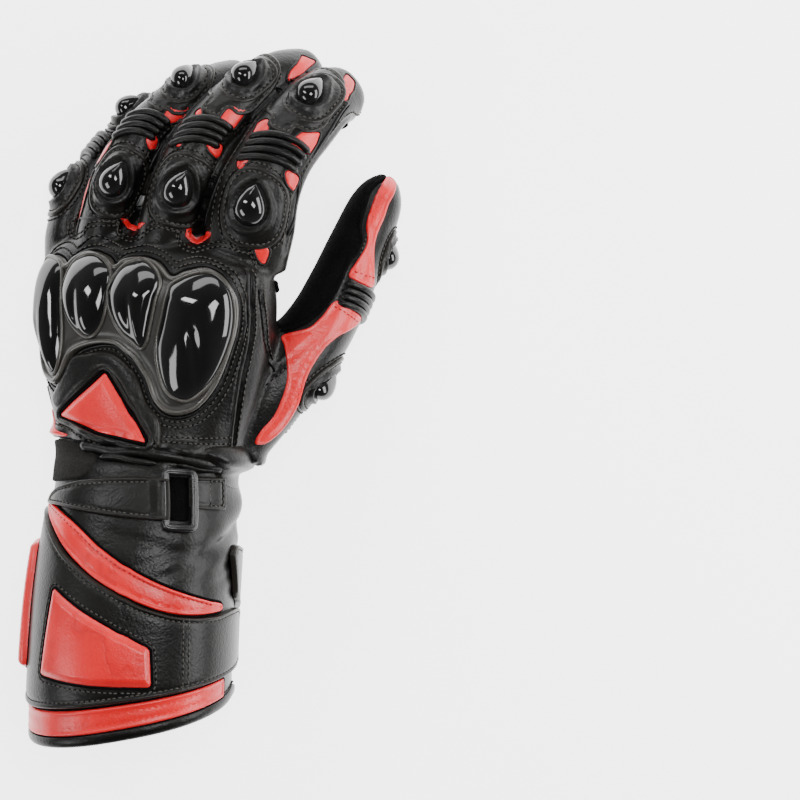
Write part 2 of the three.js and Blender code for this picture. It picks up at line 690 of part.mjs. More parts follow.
// Palm side: reinforcing patches, the raised heel pad and the pads along the little finger's edge.
function addPalm() {
  const palmPatch = [
    { t: -104, from: 184, to: 188 },
    { t: -113, from: 180, to: 189 },
    { t: -124, from: 178, to: 189 },
    { t: -145, from: 177, to: 189 },
    { t: -165, from: 178, to: 189 },
    { t: -185, from: 182, to: 188 },
  ];
  add("palm_patch", panel(arm, palmPatch, { under: flapFoot }), "suede");
  const webPatch = { s: 152, t: 92, length: 12, width: 11, under: clearance, over: tipPatchTop };
  const web = oval(arm, { ...webPatch, rings: flatRings });
  const thumbSpace = rod(fingers.thumb, { from: 0, step: 10, sides: 14, lift: gap });
  add("thumb_web_patch", cutFrom(web, thumbSpace), "suede");
  const heelPad = [
    { t: -98, from: 119.5, to: 122 },
    { t: -110, from: 117, to: 125 },
    { t: -124, from: 114.5, to: 127 },
    { t: -131, from: 117, to: 128 },
    { t: -138, from: 122, to: 128 },
  ];
  add("heel_pad", panel(arm, heelPad, { over: ribTop, columns: 3 }), "leather");
  const edgePads = [
    { t: -57, s: 117.5, length: 20, reach: 19 },
    { t: -76, s: 147, length: 19, reach: 28 },
    { t: -82, s: 179, length: 10, reach: 25 },
  ];
  edgePads.forEach(({ t, s, length, reach }, i) => {
    const taper = (part) => ({ t: t - part * reach, from: s, to: s + length * (1 - 0.85 * part) });
    const rows = spread(0, 1, 3).map(taper);
    add(`edge_pad_${i + 1}`, panel(arm, rows, { over: ribTop, columns: 3 }), "leather");
  });
  for (const name of ["index", "middle", "ring", "thumb"]) {
    const tube = fingers[name];
    const half = tube.halfRound(tube.base);
    const places = spread(tube.base - 12, tube.length - 3, 4);
    const rows = places.map((s) => ({ s, from: half - 12, to: half + 8 }));
    add(`${name}_tip_patch`, panel(tube, rows, { over: tipPatchTop, along: true, columns: 5 }), "suede");
  }
}

addShells();
addKnuckleGuard();
addFingerArmour();
addWrist();
addCuff();
addPalm();

export default glove;
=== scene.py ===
import math

import bmesh
import bpy
import numpy as np
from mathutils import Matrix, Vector, geometry, noise
from mathutils.bvhtree import BVHTree
from mathutils.kdtree import KDTree


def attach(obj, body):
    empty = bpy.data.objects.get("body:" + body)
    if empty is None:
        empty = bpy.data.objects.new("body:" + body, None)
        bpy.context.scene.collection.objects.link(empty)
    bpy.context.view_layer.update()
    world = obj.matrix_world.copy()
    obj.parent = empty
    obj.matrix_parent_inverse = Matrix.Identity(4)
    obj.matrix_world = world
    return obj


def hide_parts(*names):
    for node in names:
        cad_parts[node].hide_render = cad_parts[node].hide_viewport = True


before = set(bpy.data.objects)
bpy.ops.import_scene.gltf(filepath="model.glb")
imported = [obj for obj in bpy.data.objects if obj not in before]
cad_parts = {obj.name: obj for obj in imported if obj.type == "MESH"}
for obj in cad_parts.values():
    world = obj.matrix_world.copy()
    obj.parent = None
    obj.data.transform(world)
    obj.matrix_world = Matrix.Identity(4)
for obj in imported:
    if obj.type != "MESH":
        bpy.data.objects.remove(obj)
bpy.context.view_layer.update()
print("glove: frame loaded,", len(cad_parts), "solids")

# The soft tubes of the glove, in millimetres, as in the CAD. A row is x, y, z, half width, half
# height and roll. A place on a tube is s, the length along it, and t, the length round it from the
# middle of its back, positive towards the thumb.
tableMiddle = np.array([3.4, 4.5, 0.0])
gloveTubes = {
    "arm": {"power": 2.45, "tip": 15, "rest": 4.4, "cut": (11, 7, 88), "rows": [
        (-30.5, -132, 42, 42.5, 38.5, 0), (-30.2, -114, 42, 42.2, 38.3, 0), (-28.8, -88, 41.5, 41.6, 37, 2),
        (-26.4, -62, 41, 40.6, 34.5, 4), (-25, -44, 40, 39.2, 31.5, 6), (-24.2, -28, 39.5, 38.6, 28.5, 9),
        (-22, -12, 39, 43, 27, 12), (-20.5, 6, 38.5, 48.5, 26, 16), (-20, 26, 37.5, 53, 25.2, 21),
        (-20, 44, 37.6, 55, 23.7, 24), (-19, 58, 38.4, 54, 20, 26), (-17, 72.5, 39, 49, 15, 27)]},
    "index": {"power": 2.2, "tip": 10, "rest": 1.5, "rows": [
        (19.5, 55.9, 52, 16, 12, 8), (21.3, 72.5, 56, 18.5, 13, 10), (25, 88.5, 57, 17.3, 13, 12),
        (32.9, 104, 56, 15.4, 12.5, 14), (43.4, 118.8, 49, 15.2, 11.5, 18), (53.4, 129.5, 39, 13.6, 10.5, 22),
        (64.3, 133.9, 26, 11.3, 9.5, 26)]},
    "middle": {"power": 2.2, "tip": 10, "rest": 1.5, "rows": [
        (-17.2, 56.4, 41, 12.5, 12, 20), (-14.8, 72.4, 45, 12.8, 12.5, 22), (-8.7, 90.6, 48, 12.8, 12.5, 24),
        (2.3, 112, 47, 12.2, 12, 26), (17.5, 129.1, 40, 11.5, 11, 30), (32.8, 140.5, 29, 11, 10.5, 34),
        (47.9, 144.3, 15, 10, 9.5, 36)]},
    "ring": {"power": 2.2, "tip": 10, "rest": 1.5, "rows": [
        (-44.4, 57.9, 29, 12, 11.5, 36), (-42.3, 74.1, 33, 12, 12, 38), (-36.4, 92.5, 37, 12, 12, 40),
        (-23.7, 114.5, 36, 11.5, 11.5, 42), (-7.9, 129.2, 29, 11, 10.8, 44), (5.2, 137.9, 18, 10.5, 10, 46),
        (18.6, 141.4, 7.5, 10, 9.5, 46)]},
    "little": {"power": 2.2, "tip": 9, "rest": 0, "rows": [
        (-60.8, 58.9, 16.2, 11, 11, 52), (-60.3, 75.2, 14.6, 11, 10.8, 56), (-53.7, 91.3, 13, 10.8, 10.5, 58),
        (-42.2, 107.8, 12.2, 10.3, 10, 59), (-30, 120.3, 11.2, 10, 9.6, 60), (-19.4, 128, 10, 9.7, 9.3, 60),
        (-9.5, 131.4, 8.3, 9.3, 9, 58)]},
    "thumb": {"power": 2.2, "tip": 16, "rest": 0, "rows": [
        (14.4, -17.2, 38, 13, 15, -35), (30.7, 7.7, 37, 15, 17, -70), (47, 27.5, 33, 15, 15, -92),
        (57.3, 46, 28, 14, 13.8, -98), (65.4, 65.3, 21, 13, 12.6, -100), (72.6, 82.2, 14.5, 11.8, 11.3, -100),
        (79.4, 98, 8.2, 10.2, 9.2, -100)]},
}
# Folds of the arm's leather: s, t, reach round, reach along, depth, climb along per millimetre round.
armFolds = [
    (107.5, -8, 30, 2.8, 2.6, 0.06), (103, 26, 16, 2.4, 1.6, -0.1), (76, 52, 15, 3.2, 1.8, 0.25),
    (66, 56, 13, 3, 1.4, 0.3), (104, 62, 16, 3, 1.8, 0.1), (78, -150, 28, 3.6, 1.8, 0.12),
    (70, 36, 13, 1.8, 0.7, 0.45), (58, 48, 12, 2.2, 0.8, 0.2), (72, 8, 16, 2.4, 0.6, -0.18),
    (62, 24, 12, 2.0, 0.5, 0.3), (106, 40, 12, 1.8, 1.2, 0.12), (50, 62, 12, 2.4, 0.7, -0.1),
    (90, 57, 10, 6.5, -2.6, 0.1), (81, 58, 9, 1.8, 1.2, 0.2), (72, 44, 16, 2.2, 0.8, 0.5),
    (68, 20, 22, 2.6, 0.55, 0.3),
]


def signedPower(value, power):
    return np.sign(value) * np.abs(value) ** power


def spline(a, b, c, d, f):      # Catmull-Rom from b to c
    return 0.5 * (2 * b + (c - a) * f + (2 * a - 5 * b + 4 * c - d) * f**2 + (3 * b - a - 3 * c + d) * f**3)


def bell(x, wide):
    return np.exp(-((x / wide) ** 2))


def rounded(depth, reach):      # a quarter round from the edge inwards
    return np.sqrt(1 - (1 - np.clip(depth / reach, 0, 1)) ** 2)


def unit(vectors):
    return vectors / np.maximum(np.linalg.norm(vectors, axis=-1, keepdims=True), 1e-9)


class Tube:
    def __init__(self, table, folds=()):
        self.rows = np.array(table["rows"], float)
        self.power, self.tip, self.rest = table["power"], table["tip"], table["rest"]
        self.cut, self.folds, self.steps = table.get("cut"), folds, 24
        marks = np.arange(self.steps * (len(self.rows) - 1) + 1) / self.steps
        gaps = np.linalg.norm(np.diff(self.blend(marks)[:, :3], axis=0), axis=1)
        self.lengths = np.concatenate([[0], np.cumsum(gaps)])
        self.axisLength = self.lengths[-1]
        self.base = self.axisLength - self.tip
        self.length = self.base + self.tip * math.pi / 2
        columns = self.section(np.arange(int(self.base / 3) + 3) * 3.0)[4]
        turns = np.linspace(0, math.pi, 49)
        x = columns[:, 3:4] * signedPower(np.sin(turns), 2 / self.power)
        y = columns[:, 4:5] * signedPower(np.cos(turns), 2 / self.power)
        steps = np.hypot(np.diff(x, axis=1), np.diff(y, axis=1))
        self.rounds = np.concatenate([np.zeros((len(x), 1)), np.cumsum(steps, axis=1)], axis=1)

    def blend(self, place):
        last = len(self.rows) - 1
        i = np.clip(np.floor(place), 0, last - 1).astype(int)
        f = (place - i)[:, None]
        padded = np.vstack([2 * self.rows[0] - self.rows[1], self.rows, 2 * self.rows[-1] - self.rows[-2]])
        a, b, c, d = padded[i], padded[i + 1], padded[i + 2], padded[i + 3]
        return np.where(f > 1, c + (f - 1) * 0.5 * (d - b), spline(a, b, c, d, f))

    def section(self, length):
        i = np.clip(np.searchsorted(self.lengths, length, side="right"), 1, len(self.lengths) - 1)
        step = self.lengths[i] - self.lengths[i - 1]
        place = (i - 1 + (length - self.lengths[i - 1]) / step) / self.steps
        columns = self.blend(place)
        along = unit(self.blend(place + 0.01)[:, :3] - self.blend(place - 0.01)[:, :3])
        roll = np.radians(columns[:, 5])
        up = np.stack([-np.sin(roll), np.zeros_like(roll), np.cos(roll)], axis=1)
        up = unit(up - along * np.sum(up * along, axis=1, keepdims=True))
        return columns[:, :3], along, up, np.cross(along, up), columns

    def roundAt(self, s):
        place = np.clip(np.minimum(s, self.base) / 3, 0, len(self.rounds) - 1.001)
        k = place.astype(int)
        f = (place - k)[:, None]
        return self.rounds[k] * (1 - f) + self.rounds[k + 1] * f

    def halfRound(self, s):
        return self.roundAt(np.atleast_1d(np.asarray(s, float)))[:, 48]

    def angle(self, s, t):
        lengths = self.roundAt(s)
        half = lengths[:, 48]
        past = np.abs(t) > half
        reach = np.where(past, 2 * half - np.abs(t), np.abs(t))
        i = np.clip(np.sum(lengths < reach[:, None], axis=1), 1, 48)
        rowIndex = np.arange(len(i))
        low, high = lengths[rowIndex, i - 1], lengths[rowIndex, i]
        turn = (i - 1 + (reach - low) / (high - low)) * math.pi / 48
        return np.sign(t) * np.where(past, 2 * math.pi - turn, turn)

    def foldDepth(self, s, t):
        depth = np.zeros_like(s)
        for foldS, foldT, around, along, deep, climb in self.folds:
            a = (s - foldS - (t - foldT) * climb) / along
            b = (t - foldT) / around
            depth += deep * np.exp(-a * a - b * b)
        return depth

    # Points in metres, in the frame of the CAD.
    def at(self, s, t, lift=0.0, soft=1.0):
        s, t, lift = (np.array(v, float).ravel() for v in np.broadcast_arrays(s, t, lift))
        turn = np.clip((s - self.base) / self.tip, 0, math.pi / 2)
        length = np.where(s > self.base, self.base + (self.tip + lift) * np.sin(turn), s)
        centre, along, up, side, columns = self.section(length)
        angle = self.angle(s, t)
        raised = lift - soft * self.foldDepth(s, t)
        acrossPart = signedPower(np.sin(angle), 2 / self.power)
        backPart = signedPower(np.cos(angle), 2 / self.power)
        across = (columns[:, 3] + raised) * np.cos(turn) * acrossPart
        back = (columns[:, 4] + raised) * np.cos(turn) * backPart
        points = centre + side * across[:, None] + up * back[:, None]
        if self.cut:
            slant, bow, fades = self.cut
            fade = np.clip(1 - s / fades, 0, None) * (s < fades)
            move = fade * across * math.tan(math.radians(slant)) - fade**2 * bow * np.abs(backPart)
            points += along * move[:, None]
        points[:, 2] = np.maximum(points[:, 2], self.rest - lift)
        return (points - tableMiddle) / 1000


arm = Tube(gloveTubes["arm"], armFolds)
fingerTubes = {name: Tube(table) for name, table in gloveTubes.items() if name != "arm"}


# Shader maths: a wire wraps a socket, and an expression on wires adds Math nodes.
class Wire:
    def __init__(self, maker, socket):
        self.maker, self.socket = maker, socket

    def maths(self, operation, *values):
        return self.maker.node("ShaderNodeMath", {"operation": operation}, *values)

    def __add__(self, other):
        return self.maths("ADD", self, other)

    def __mul__(self, other):
        return self.maths("MULTIPLY", self, other)

    def __sub__(self, other):
        return self.maths("SUBTRACT", self, other)

    def __rsub__(self, other):
        return self.maths("SUBTRACT", other, self)

    def __pow__(self, other):
        return self.maths("POWER", self, other)

    def clamp(self, low=0.0, high=1.0):
        return self.maker.node("ShaderNodeClamp", {}, self, low, high)

    __radd__ = __add__
    __rmul__ = __mul__


class Finish:
    def __init__(self, name, shader):
        self.material = bpy.data.materials.new(name)
        self.material.use_nodes = True
        self.nodes, self.links = self.material.node_tree.nodes, self.material.node_tree.links
        self.shader = self.nodes["Principled BSDF"]
        self.place = Wire(self, self.nodes.new("ShaderNodeTexCoord").outputs["Object"])
        for socket, value in shader.items():
            self.shader.inputs[socket].default_value = value

    # Adds a node: its settings first, then the values or wires of its sockets, by order or by name.
    def node(self, kind, settings, *values, out=0, **named):
        made = self.nodes.new(kind)
        for key, value in settings.items():
            if key == "stops":
                ramp = made.color_ramp
                for i, (position, colour) in enumerate(value):
                    stop = ramp.elements[i] if i < 2 else ramp.elements.new(position)
                    stop.position, stop.color = position, colour
            else:
                setattr(made, key, value)
        pairs = list(zip([s for s in made.inputs if s.enabled], values))
        pairs += [(next(s for s in made.inputs if s.enabled and s.name == key), v) for key,
                  v in named.items()]
        for socket, value in pairs:
            if isinstance(value, Wire):
                self.links.new(value.socket, socket)
            elif value is not None:
                socket.default_value = value
        outputs = [s for s in made.outputs if s.enabled]
        return Wire(self, outputs[out] if isinstance(out, int) else made.outputs[out])

    def noise(self, scale, detail=2.0, rough=0.5, place=None):
        wires = {"Vector": place or self.place, "Scale": scale, "Detail": detail, "Roughness": rough}
        return self.node("ShaderNodeTexNoise", {}, **wires)

    def stretched(self, scale, turn=(0, 0, 0)):
        return self.node("ShaderNodeMapping", {}, self.place, (0, 0, 0), turn, scale)

    def cells(self, scale, feature="F1", place=None):
        wires = {"Vector": place or self.place, "Scale": scale}
        return self.node("ShaderNodeTexVoronoi", {"feature": feature}, **wires)

    def attribute(self, name):
        return self.node("ShaderNodeAttribute", {"attribute_name": name}, out="Fac")

    def mix(self, factor, a, b):
        made = self.nodes.new("ShaderNodeMix")
        made.data_type = "RGBA"
        for socket, value in ((made.inputs[0], factor), (made.inputs[6], a), (made.inputs[7], b)):
            if isinstance(value, Wire):
                self.links.new(value.socket, socket)
            else:
                socket.default_value = value
        return Wire(self, made.outputs[2])

    def send(self, name, wire):
        self.links.new(wire.socket, self.shader.inputs[name])

    def bump(self, height, strength, distance):
        values = {"Strength": strength, "Distance": distance, "Height": height}
        self.send("Normal", self.node("ShaderNodeBump", {}, **values))


def grained(name, values):
    look = Finish(name, {"Specular IOR Level": values["shine"], "Coat Roughness": 0.25})
    broad = look.noise(values["blotch"], 3.0)
    pebbles = look.cells(values["grain"])
    fine = look.noise(values["grain"] * 2.3, 2.0)
    creases = look.noise(14.0, 5.0, 0.62, look.stretched(values["creaseStretch"], values["creaseTurn"]))
    lines = (1 - ((creases - 0.5) * 9.0).maths("ABSOLUTE", (creases - 0.5) * 9.0).clamp()) ** 3.0
    rim = look.attribute("rim")
    seamShadeMask = look.attribute("shade")
    tone = look.mix((broad * 1.5 - 0.25).clamp(), values["deep"], values["colour"])
    # Crease lines darkened towards the deep colour: painted shade in the creases.
    tone = look.mix(lines * values["creaseShadeTone"], tone, values["deep"])
    tone = look.mix((rim * values["wear"]).clamp(), tone, values["worn"])
    # Painted shade: the leather is darkened towards the "seam" colour along the hand's sewn lines.
    tone = look.mix((seamShadeMask * 0.85).clamp(), tone, values["seam"])
    look.send("Base Color", tone)
    rough = values["rough"] + (fine - 0.5) * 0.12 + (broad - 0.5) * 0.14 - rim * 0.05
    look.send("Roughness", rough.clamp(0.1, 1))
    look.bump((1 - pebbles) * 0.55 + fine * 0.25 - lines * values["creaseDepth"], values["bump"], 0.00035)
    return look.material


# In each leather, "seam" is the colour of the painted shade along the sewn lines.
blackLeather = grained("Black_leather", {
    "colour": (0.0062, 0.0058, 0.005, 1), "deep": (0.0022, 0.002, 0.0018, 1),
    "worn": (0.026, 0.023, 0.019, 1),
    "seam": (0.0008, 0.0008, 0.0008, 1), "shine": 0.22, "rough": 0.34, "grain": 900.0, "blotch": 26.0,
    "bump": 0.4,
    "creaseStretch": (1.0, 2.2, 1.0), "creaseTurn": (0, 0, 0.5), "creaseShadeTone": 0.35, "creaseDepth": 0.5,
    "wear": 0.5})
redLeather = grained("Red_leather", {
    "colour": (0.86, 0.0035, 0.0095, 1), "deep": (0.46, 0.0012, 0.0035, 1), "worn": (0.95, 0.06, 0.065, 1),
    "seam": (0.08, 0.002, 0.003, 1), "shine": 0.5, "rough": 0.36, "grain": 1000.0, "blotch": 30.0,
    "bump": 0.3,
    "creaseStretch": (1.6, 1.0, 1.0), "creaseTurn": (0, 0, -0.4), "creaseShadeTone": 0.6, "creaseDepth": 0.9,
    "wear": 0.3})


def plastic(name, values):
    look = Finish(name, {"Specular IOR Level": values["shine"], "Coat Roughness": 0.06})
    smears = look.noise(60.0, 4.0, 0.6)
    specks = look.noise(values["texture"], 2.0)
    rim = look.attribute("rim")
    tone = look.mix((smears * 1.4 - 0.2).clamp(), values["colour"], values["light"])
    look.send("Base Color", look.mix((rim * 0.5).clamp(), tone, values["worn"]))
    look.send("Roughness", (values["rough"] + (smears - 0.5) * values["smear"]).clamp(0.03, 1))
    look.bump(specks, values["bump"], 0.0002)
    return look.material


glossArmour = plastic("Gloss_armour", {
    "colour": (0.004, 0.004, 0.0042, 1), "light": (0.007, 0.0068, 0.0064, 1), "worn": (0.01, 0.01, 0.01, 1),
    "shine": 0.55, "rough": 0.07, "smear": 0.05, "texture": 300.0, "bump": 0.02})
satinPlastic = plastic("Satin_frame", {
    "colour": (0.012, 0.0112, 0.0098, 1), "light": (0.022, 0.0203, 0.0172, 1), "worn": (0.04, 0.036, 0.03, 1),
    "shine": 0.45, "rough": 0.33, "smear": 0.12, "texture": 2200.0, "bump": 0.12})
rimPlastic = plastic("Satin_rim", {
    "colour": (0.026, 0.024, 0.0205, 1), "light": (0.042, 0.0385, 0.0325, 1), "worn": (0.06, 0.055, 0.045, 1),
    "shine": 0.6, "rough": 0.28, "smear": 0.12, "texture": 2200.0, "bump": 0.1})
ringPlastic = plastic("Black_plastic", {
    "colour": (0.005, 0.005, 0.0052, 1), "light": (0.008, 0.008, 0.008, 1), "worn": (0.02, 0.02, 0.02, 1),
    "shine": 0.45, "rough": 0.26, "smear": 0.1, "texture": 900.0, "bump": 0.06})


def napped(name, values):
    look = Finish(name, {"Specular IOR Level": 0.05, "Roughness": 0.95, "Sheen Weight": values["sheen"],
                         "Sheen Roughness": 0.4})
    nap = look.noise(values["nap"], 4.0, 0.7)
    brushed = look.noise(40.0, 3.0, 0.6, look.stretched((1.0, 3.0, 1.0)))
    tone = look.mix((nap * 1.8 - 0.4).clamp(), values["deep"], values["colour"])
    look.send("Base Color", look.mix((brushed * 1.4 - 0.45).clamp() * 0.5, tone, values["brushed"]))
    look.bump(nap + brushed * 0.3, values["bump"], 0.0006)
    return look.material


# Suede for the patches, and also the finish of the cords and sheet of painted shade.
suede = napped("Suede_and_painted_shade", {"colour": (0.0036, 0.0034, 0.0034, 1), "deep": (0.0005, 0.0005, 0.0005, 1),
                         "brushed": (0.0065, 0.006, 0.006, 1), "sheen": 0.0, "nap": 1500.0, "bump": 0.8})
hookTape = napped("Hook_tape", {"colour": (0.016, 0.0155, 0.0145, 1), "deep": (0.002, 0.002, 0.002, 1),
                                "brushed": (0.05, 0.048, 0.043, 1), "sheen": 0.04, "nap": 800.0, "bump": 1.0})
thread = napped("Thread", {"colour": (0.075, 0.071, 0.064, 1), "deep": (0.02, 0.019, 0.018, 1),
                           "brushed": (0.12, 0.113, 0.1, 1), "sheen": 0.04, "nap": 2600.0, "bump": 0.3})
redThread = napped("Red_thread", {"colour": (0.42, 0.012, 0.016, 1), "deep": (0.2, 0.006, 0.008, 1),
                                  "brushed": (0.6, 0.05, 0.05, 1), "sheen": 0.1, "nap": 2600.0, "bump": 0.3})
print("glove: finishes made")


# Outlines in s and t, as arrays of two columns.
def resampled(points, step, closed=True):
    points = np.array(points, float)
    if closed:
        points = np.vstack([points, points[:1]])
    marks = np.concatenate([[0], np.cumsum(np.linalg.norm(np.diff(points, axis=0), axis=1))])
    count = max(3, int(round(marks[-1] / step)))
    places = np.linspace(0, marks[-1], count + 1)
    made = np.stack([np.interp(places, marks, points[:, k]) for k in range(2)], axis=1)
    return made[:-1] if closed else made


def curved(points, step=1.0, closed=True):
    points = np.array(points, float)
    count = len(points)
    parts = []
    for i in range(count if closed else count - 1):
        if closed:
            a, b, c, d = (points[(i + k) % count] for k in (-1, 0, 1, 2))
        else:
            b, c = points[i], points[i + 1]
            a = points[i - 1] if i > 0 else 2 * b - c
            d = points[i + 2] if i + 2 < count else 2 * c - b
        f = np.linspace(0, 1, 12, endpoint=False)[:, None]
        parts.append(spline(a, b, c, d, f))
    if not closed:
        parts.append(points[-1:])
    return resampled(np.vstack(parts), step, closed)


def cornered(points, radius, step=1.0):
    points = np.array(points, float)
    parts = []
    for i in range(len(points)):
        before, here, after = points[i - 1], points[i], points[(i + 1) % len(points)]
        toBefore, toAfter = before - here, after - here
        cut = min(radius, 0.45 * np.linalg.norm(toBefore), 0.45 * np.linalg.norm(toAfter))
        start, end = here + unit(toBefore) * cut, here + unit(toAfter) * cut
        f = np.linspace(0, 1, 7)[:, None]
        parts.append((1 - f) ** 2 * start + 2 * f * (1 - f) * here + f**2 * end)
    return resampled(np.vstack(parts), step)


# An outline from rows of t, from and to, as the CAD states its panels.
def fromRows(rows):
    return [(low, t) for t, low, high in rows] + [(high, t) for t, low, high in reversed(rows)]


def edgeDistance(points, loop, closed=True):
    a = loop if closed else loop[:-1]
    ab = np.roll(loop, -1, axis=0) - loop if closed else loop[1:] - a
    size = np.maximum(np.sum(ab * ab, axis=1), 1e-12)
    best = np.empty(len(points))
    for start in range(0, len(points), 1500):
        p = points[start:start + 1500, None]
        f = np.clip(np.sum((p - a) * ab, axis=2) / size, 0, 1)
        best[start:start + 1500] = np.linalg.norm(p - a - f[..., None] * ab, axis=2).min(axis=1)
    return best


def isInside(points, loop):
    following = np.roll(loop, -1, axis=0)
    x, y = points[:, None, 0], points[:, None, 1]
    crossing = (loop[:, 1] > y) != (following[:, 1] > y)
    slope = (following[:, 0] - loop[:, 0]) / (following[:, 1] - loop[:, 1] + 1e-12)
    return np.sum(crossing & (x < loop[:, 0] + slope * (y - loop[:, 1])), axis=1) % 2 == 1


def inwards(loop):
    forward = unit(np.roll(loop, -1, axis=0) - np.roll(loop, 1, axis=0))
    area = np.sum(loop[:, 0] * np.roll(loop[:, 1], -1) - np.roll(loop[:, 0], -1) * loop[:, 1])
    return np.stack([-forward[:, 1], forward[:, 0]], axis=1) * (1 if area > 0 else -1)


# A loop moved in from its outline, or out for a negative depth, with the points left out that cross.
def movedIn(loop, depth):
    moved = loop + inwards(loop) * depth
    return moved[edgeDistance(moved, loop) > 0.97 * abs(depth)]


# Meshes
def newObject(name, points, faces, attributes=None, turn=True):
    mesh = bpy.data.meshes.new(name)
    mesh.from_pydata([tuple(map(float, p)) for p in points], [], [tuple(map(int, f)) for f in faces])
    for key, values in (attributes or {}).items():
        made = mesh.attributes.new(key, "FLOAT", "POINT")
        made.data.foreach_set("value", np.asarray(values, dtype=np.float32))
    if turn:
        shape = bmesh.new()
        shape.from_mesh(mesh)
        bmesh.ops.recalc_face_normals(shape, faces=shape.faces)
        shape.to_mesh(mesh)
        shape.free()
    mesh.shade_smooth()
    item = bpy.data.objects.new(name, mesh)
    bpy.context.scene.collection.objects.link(item)
    return item


def joined(name, items):
    shape = bmesh.new()
    for item in items:
        shape.from_mesh(item.data)
    mesh = bpy.data.meshes.new(name)
    shape.to_mesh(mesh)
    shape.free()
    mesh.shade_smooth()
    for item in items:
        bpy.data.objects.remove(item)
    made = bpy.data.objects.new(name, mesh)
    bpy.context.scene.collection.objects.link(made)
    return made


def settle(item, finish, nodes=()):
    item.data.materials.clear()
    item.data.materials.append(finish)
    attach(item, "root")
    if nodes:
        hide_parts(*nodes)
    return item


# The leather that a panel lies on: a tube, and the finished skin over it where there is one.
class Ground:
    def __init__(self, tube, skin=None, soft=1.0, reach=0.0042):
        self.tube, self.skin, self.soft, self.reach = tube, skin, soft, reach

    def place(self, s, t, lift):
        s, t, lift = (np.array(v, float).ravel() for v in np.broadcast_arrays(s, t, lift))
        if self.skin is None:
            return self.tube.at(s, t, lift, self.soft)
        feet = self.tube.at(s, t, 0.0, self.soft)
        outward = unit(self.tube.at(s, t, 3.0, self.soft) - feet)
        for i in range(len(feet)):
            start = Vector(feet[i] + outward[i] * 0.009)
            hit = self.skin.ray_cast(start, Vector(-outward[i]), 0.016)[0]
            if hit is not None and np.linalg.norm(np.array(hit) - feet[i]) < self.reach:
                feet[i] = hit
        return feet + outward * (lift / 1000)[:, None]


# The hand seen from above: a place is x and y in millimetres, on the highest leather there.
class FromAbove:
    def __init__(self, skin):
        self.skin = skin

    def place(self, x, y, lift):
        x, y, lift = (np.array(v, float).ravel() for v in np.broadcast_arrays(x, y, lift))
        feet = np.stack([x / 1000, y / 1000, np.full(len(x), 0.03)], axis=1)
        for i in range(len(feet)):
            hit = self.skin.ray_cast(Vector((feet[i, 0], feet[i, 1], 0.12)), Vector((0, 0, -1)), 0.12)[0]
            if hit is not None:
                feet[i] = hit
        return feet + np.array([0, 0, 1.0]) * (lift / 1000)[:, None]


# A closed panel inside an outline. The profile gives its height from the distance to the edge.
def panel(name, ground, loop, profile, under=-0.4, grid=1.5, rings=(0.3, 0.7, 1.2, 1.9)):
    inward = inwards(loop)
    pieces = [loop]
    for depth in rings:
        ring = loop + inward * depth
        far = edgeDistance(ring, loop) > 0.93 * depth
        pieces.append(ring[far & isInside(ring, loop)])
    low, high = loop.min(axis=0), loop.max(axis=0)
    across, along = np.meshgrid(np.arange(low[0], high[0], grid), np.arange(low[1], high[1], grid * 0.87))
    across[1::2] += grid / 2
    lattice = np.stack([across.ravel(), along.ravel()], axis=1)
    lattice = lattice[isInside(lattice, loop)]
    lattice = lattice[edgeDistance(lattice, loop) > rings[-1] + 0.45 * grid]
    pieces.append(lattice)
    flat = np.vstack(pieces)
    count = len(loop)
    rimEdges = [(i, (i + 1) % count) for i in range(count)]
    made = geometry.delaunay_2d_cdt([Vector(p) for p in flat], rimEdges, [], 1, 1e-4)
    flat, faces = np.array([tuple(v) for v in made[0]]), made[2]
    depth = edgeDistance(flat, loop)
    s, t = flat[:, 0], flat[:, 1]
    top = ground.place(s, t, profile(depth, s, t))
    bottom = ground.place(s, t, np.full(len(s), under))
    size = len(flat)
    uses = {}
    for face in faces:
        for i in range(3):
            edge = (face[i], face[(i + 1) % 3])
            uses[edge] = uses.get(edge, 0) + 1
    sides = [(b, a, a + size, b + size) for a, b in uses if (b, a) not in uses]
    allFaces = [tuple(f) for f in faces] + [tuple(v + size for v in reversed(f)) for f in faces] + sides
    rim = np.exp(-((depth / 0.9) ** 2))
    return newObject(name, np.vstack([top, bottom]), allFaces, {"rim": np.concatenate([rim, rim])})


def pillow(height, reach, foot=0.25):
    return lambda depth, s, t: foot + (height - foot) * rounded(depth, reach)


# A leather layer with a turned edge and the dip of a stitched line a little way in.
def turnedEdge(height, dip=2.0, roll=0.25, foot=0.2):
    def profile(depth, s, t):
        rise = foot + (height - foot) * rounded(depth, 0.8)
        return rise + roll * bell(depth - 1.0, 0.6) - 0.4 * bell(depth - dip, 0.55)
    return profile


# A raised cap that is star shaped about its middle: rings that shrink to a pole.
def cap(name, ground, loop, middle, height, under, rows=16, columns=72):
    loop = resampled(loop, 0.2)
    middle = np.array(middle, float)
    loop = loop[np.linspace(0, len(loop), columns, endpoint=False).astype(int)]
    sizes = np.sin(np.linspace(math.pi / 2, 0, rows, endpoint=False))
    flat = np.vstack([middle + size * (loop - middle) for size in sizes] + [middle[None]])
    rho = np.concatenate([np.full(columns, size) for size in sizes] + [[0.0]])
    top = ground.place(flat[:, 0], flat[:, 1], height(rho, flat[:, 0], flat[:, 1]))
    bottom = ground.place(np.append(loop[:, 0], middle[0]), np.append(loop[:, 1], middle[1]), under)
    faces = []
    for j in range(columns):
        k = (j + 1) % columns
        for i in range(rows - 1):
            faces.append((i * columns + j, i * columns + k, (i + 1) * columns + k, (i + 1) * columns + j))
        pole, foot = rows * columns, rows * columns + 1
        faces.append(((rows - 1) * columns + j, (rows - 1) * columns + k, pole))
        faces.append((foot + k, foot + j, foot + columns))
        faces.append((k, j, foot + j, foot + k))
    rim = np.concatenate([np.exp(-(((1 - rho) / 0.08) ** 2)), np.ones(columns + 1)])
    return newObject(name, np.vstack([top, bottom]), faces, {"rim": rim})


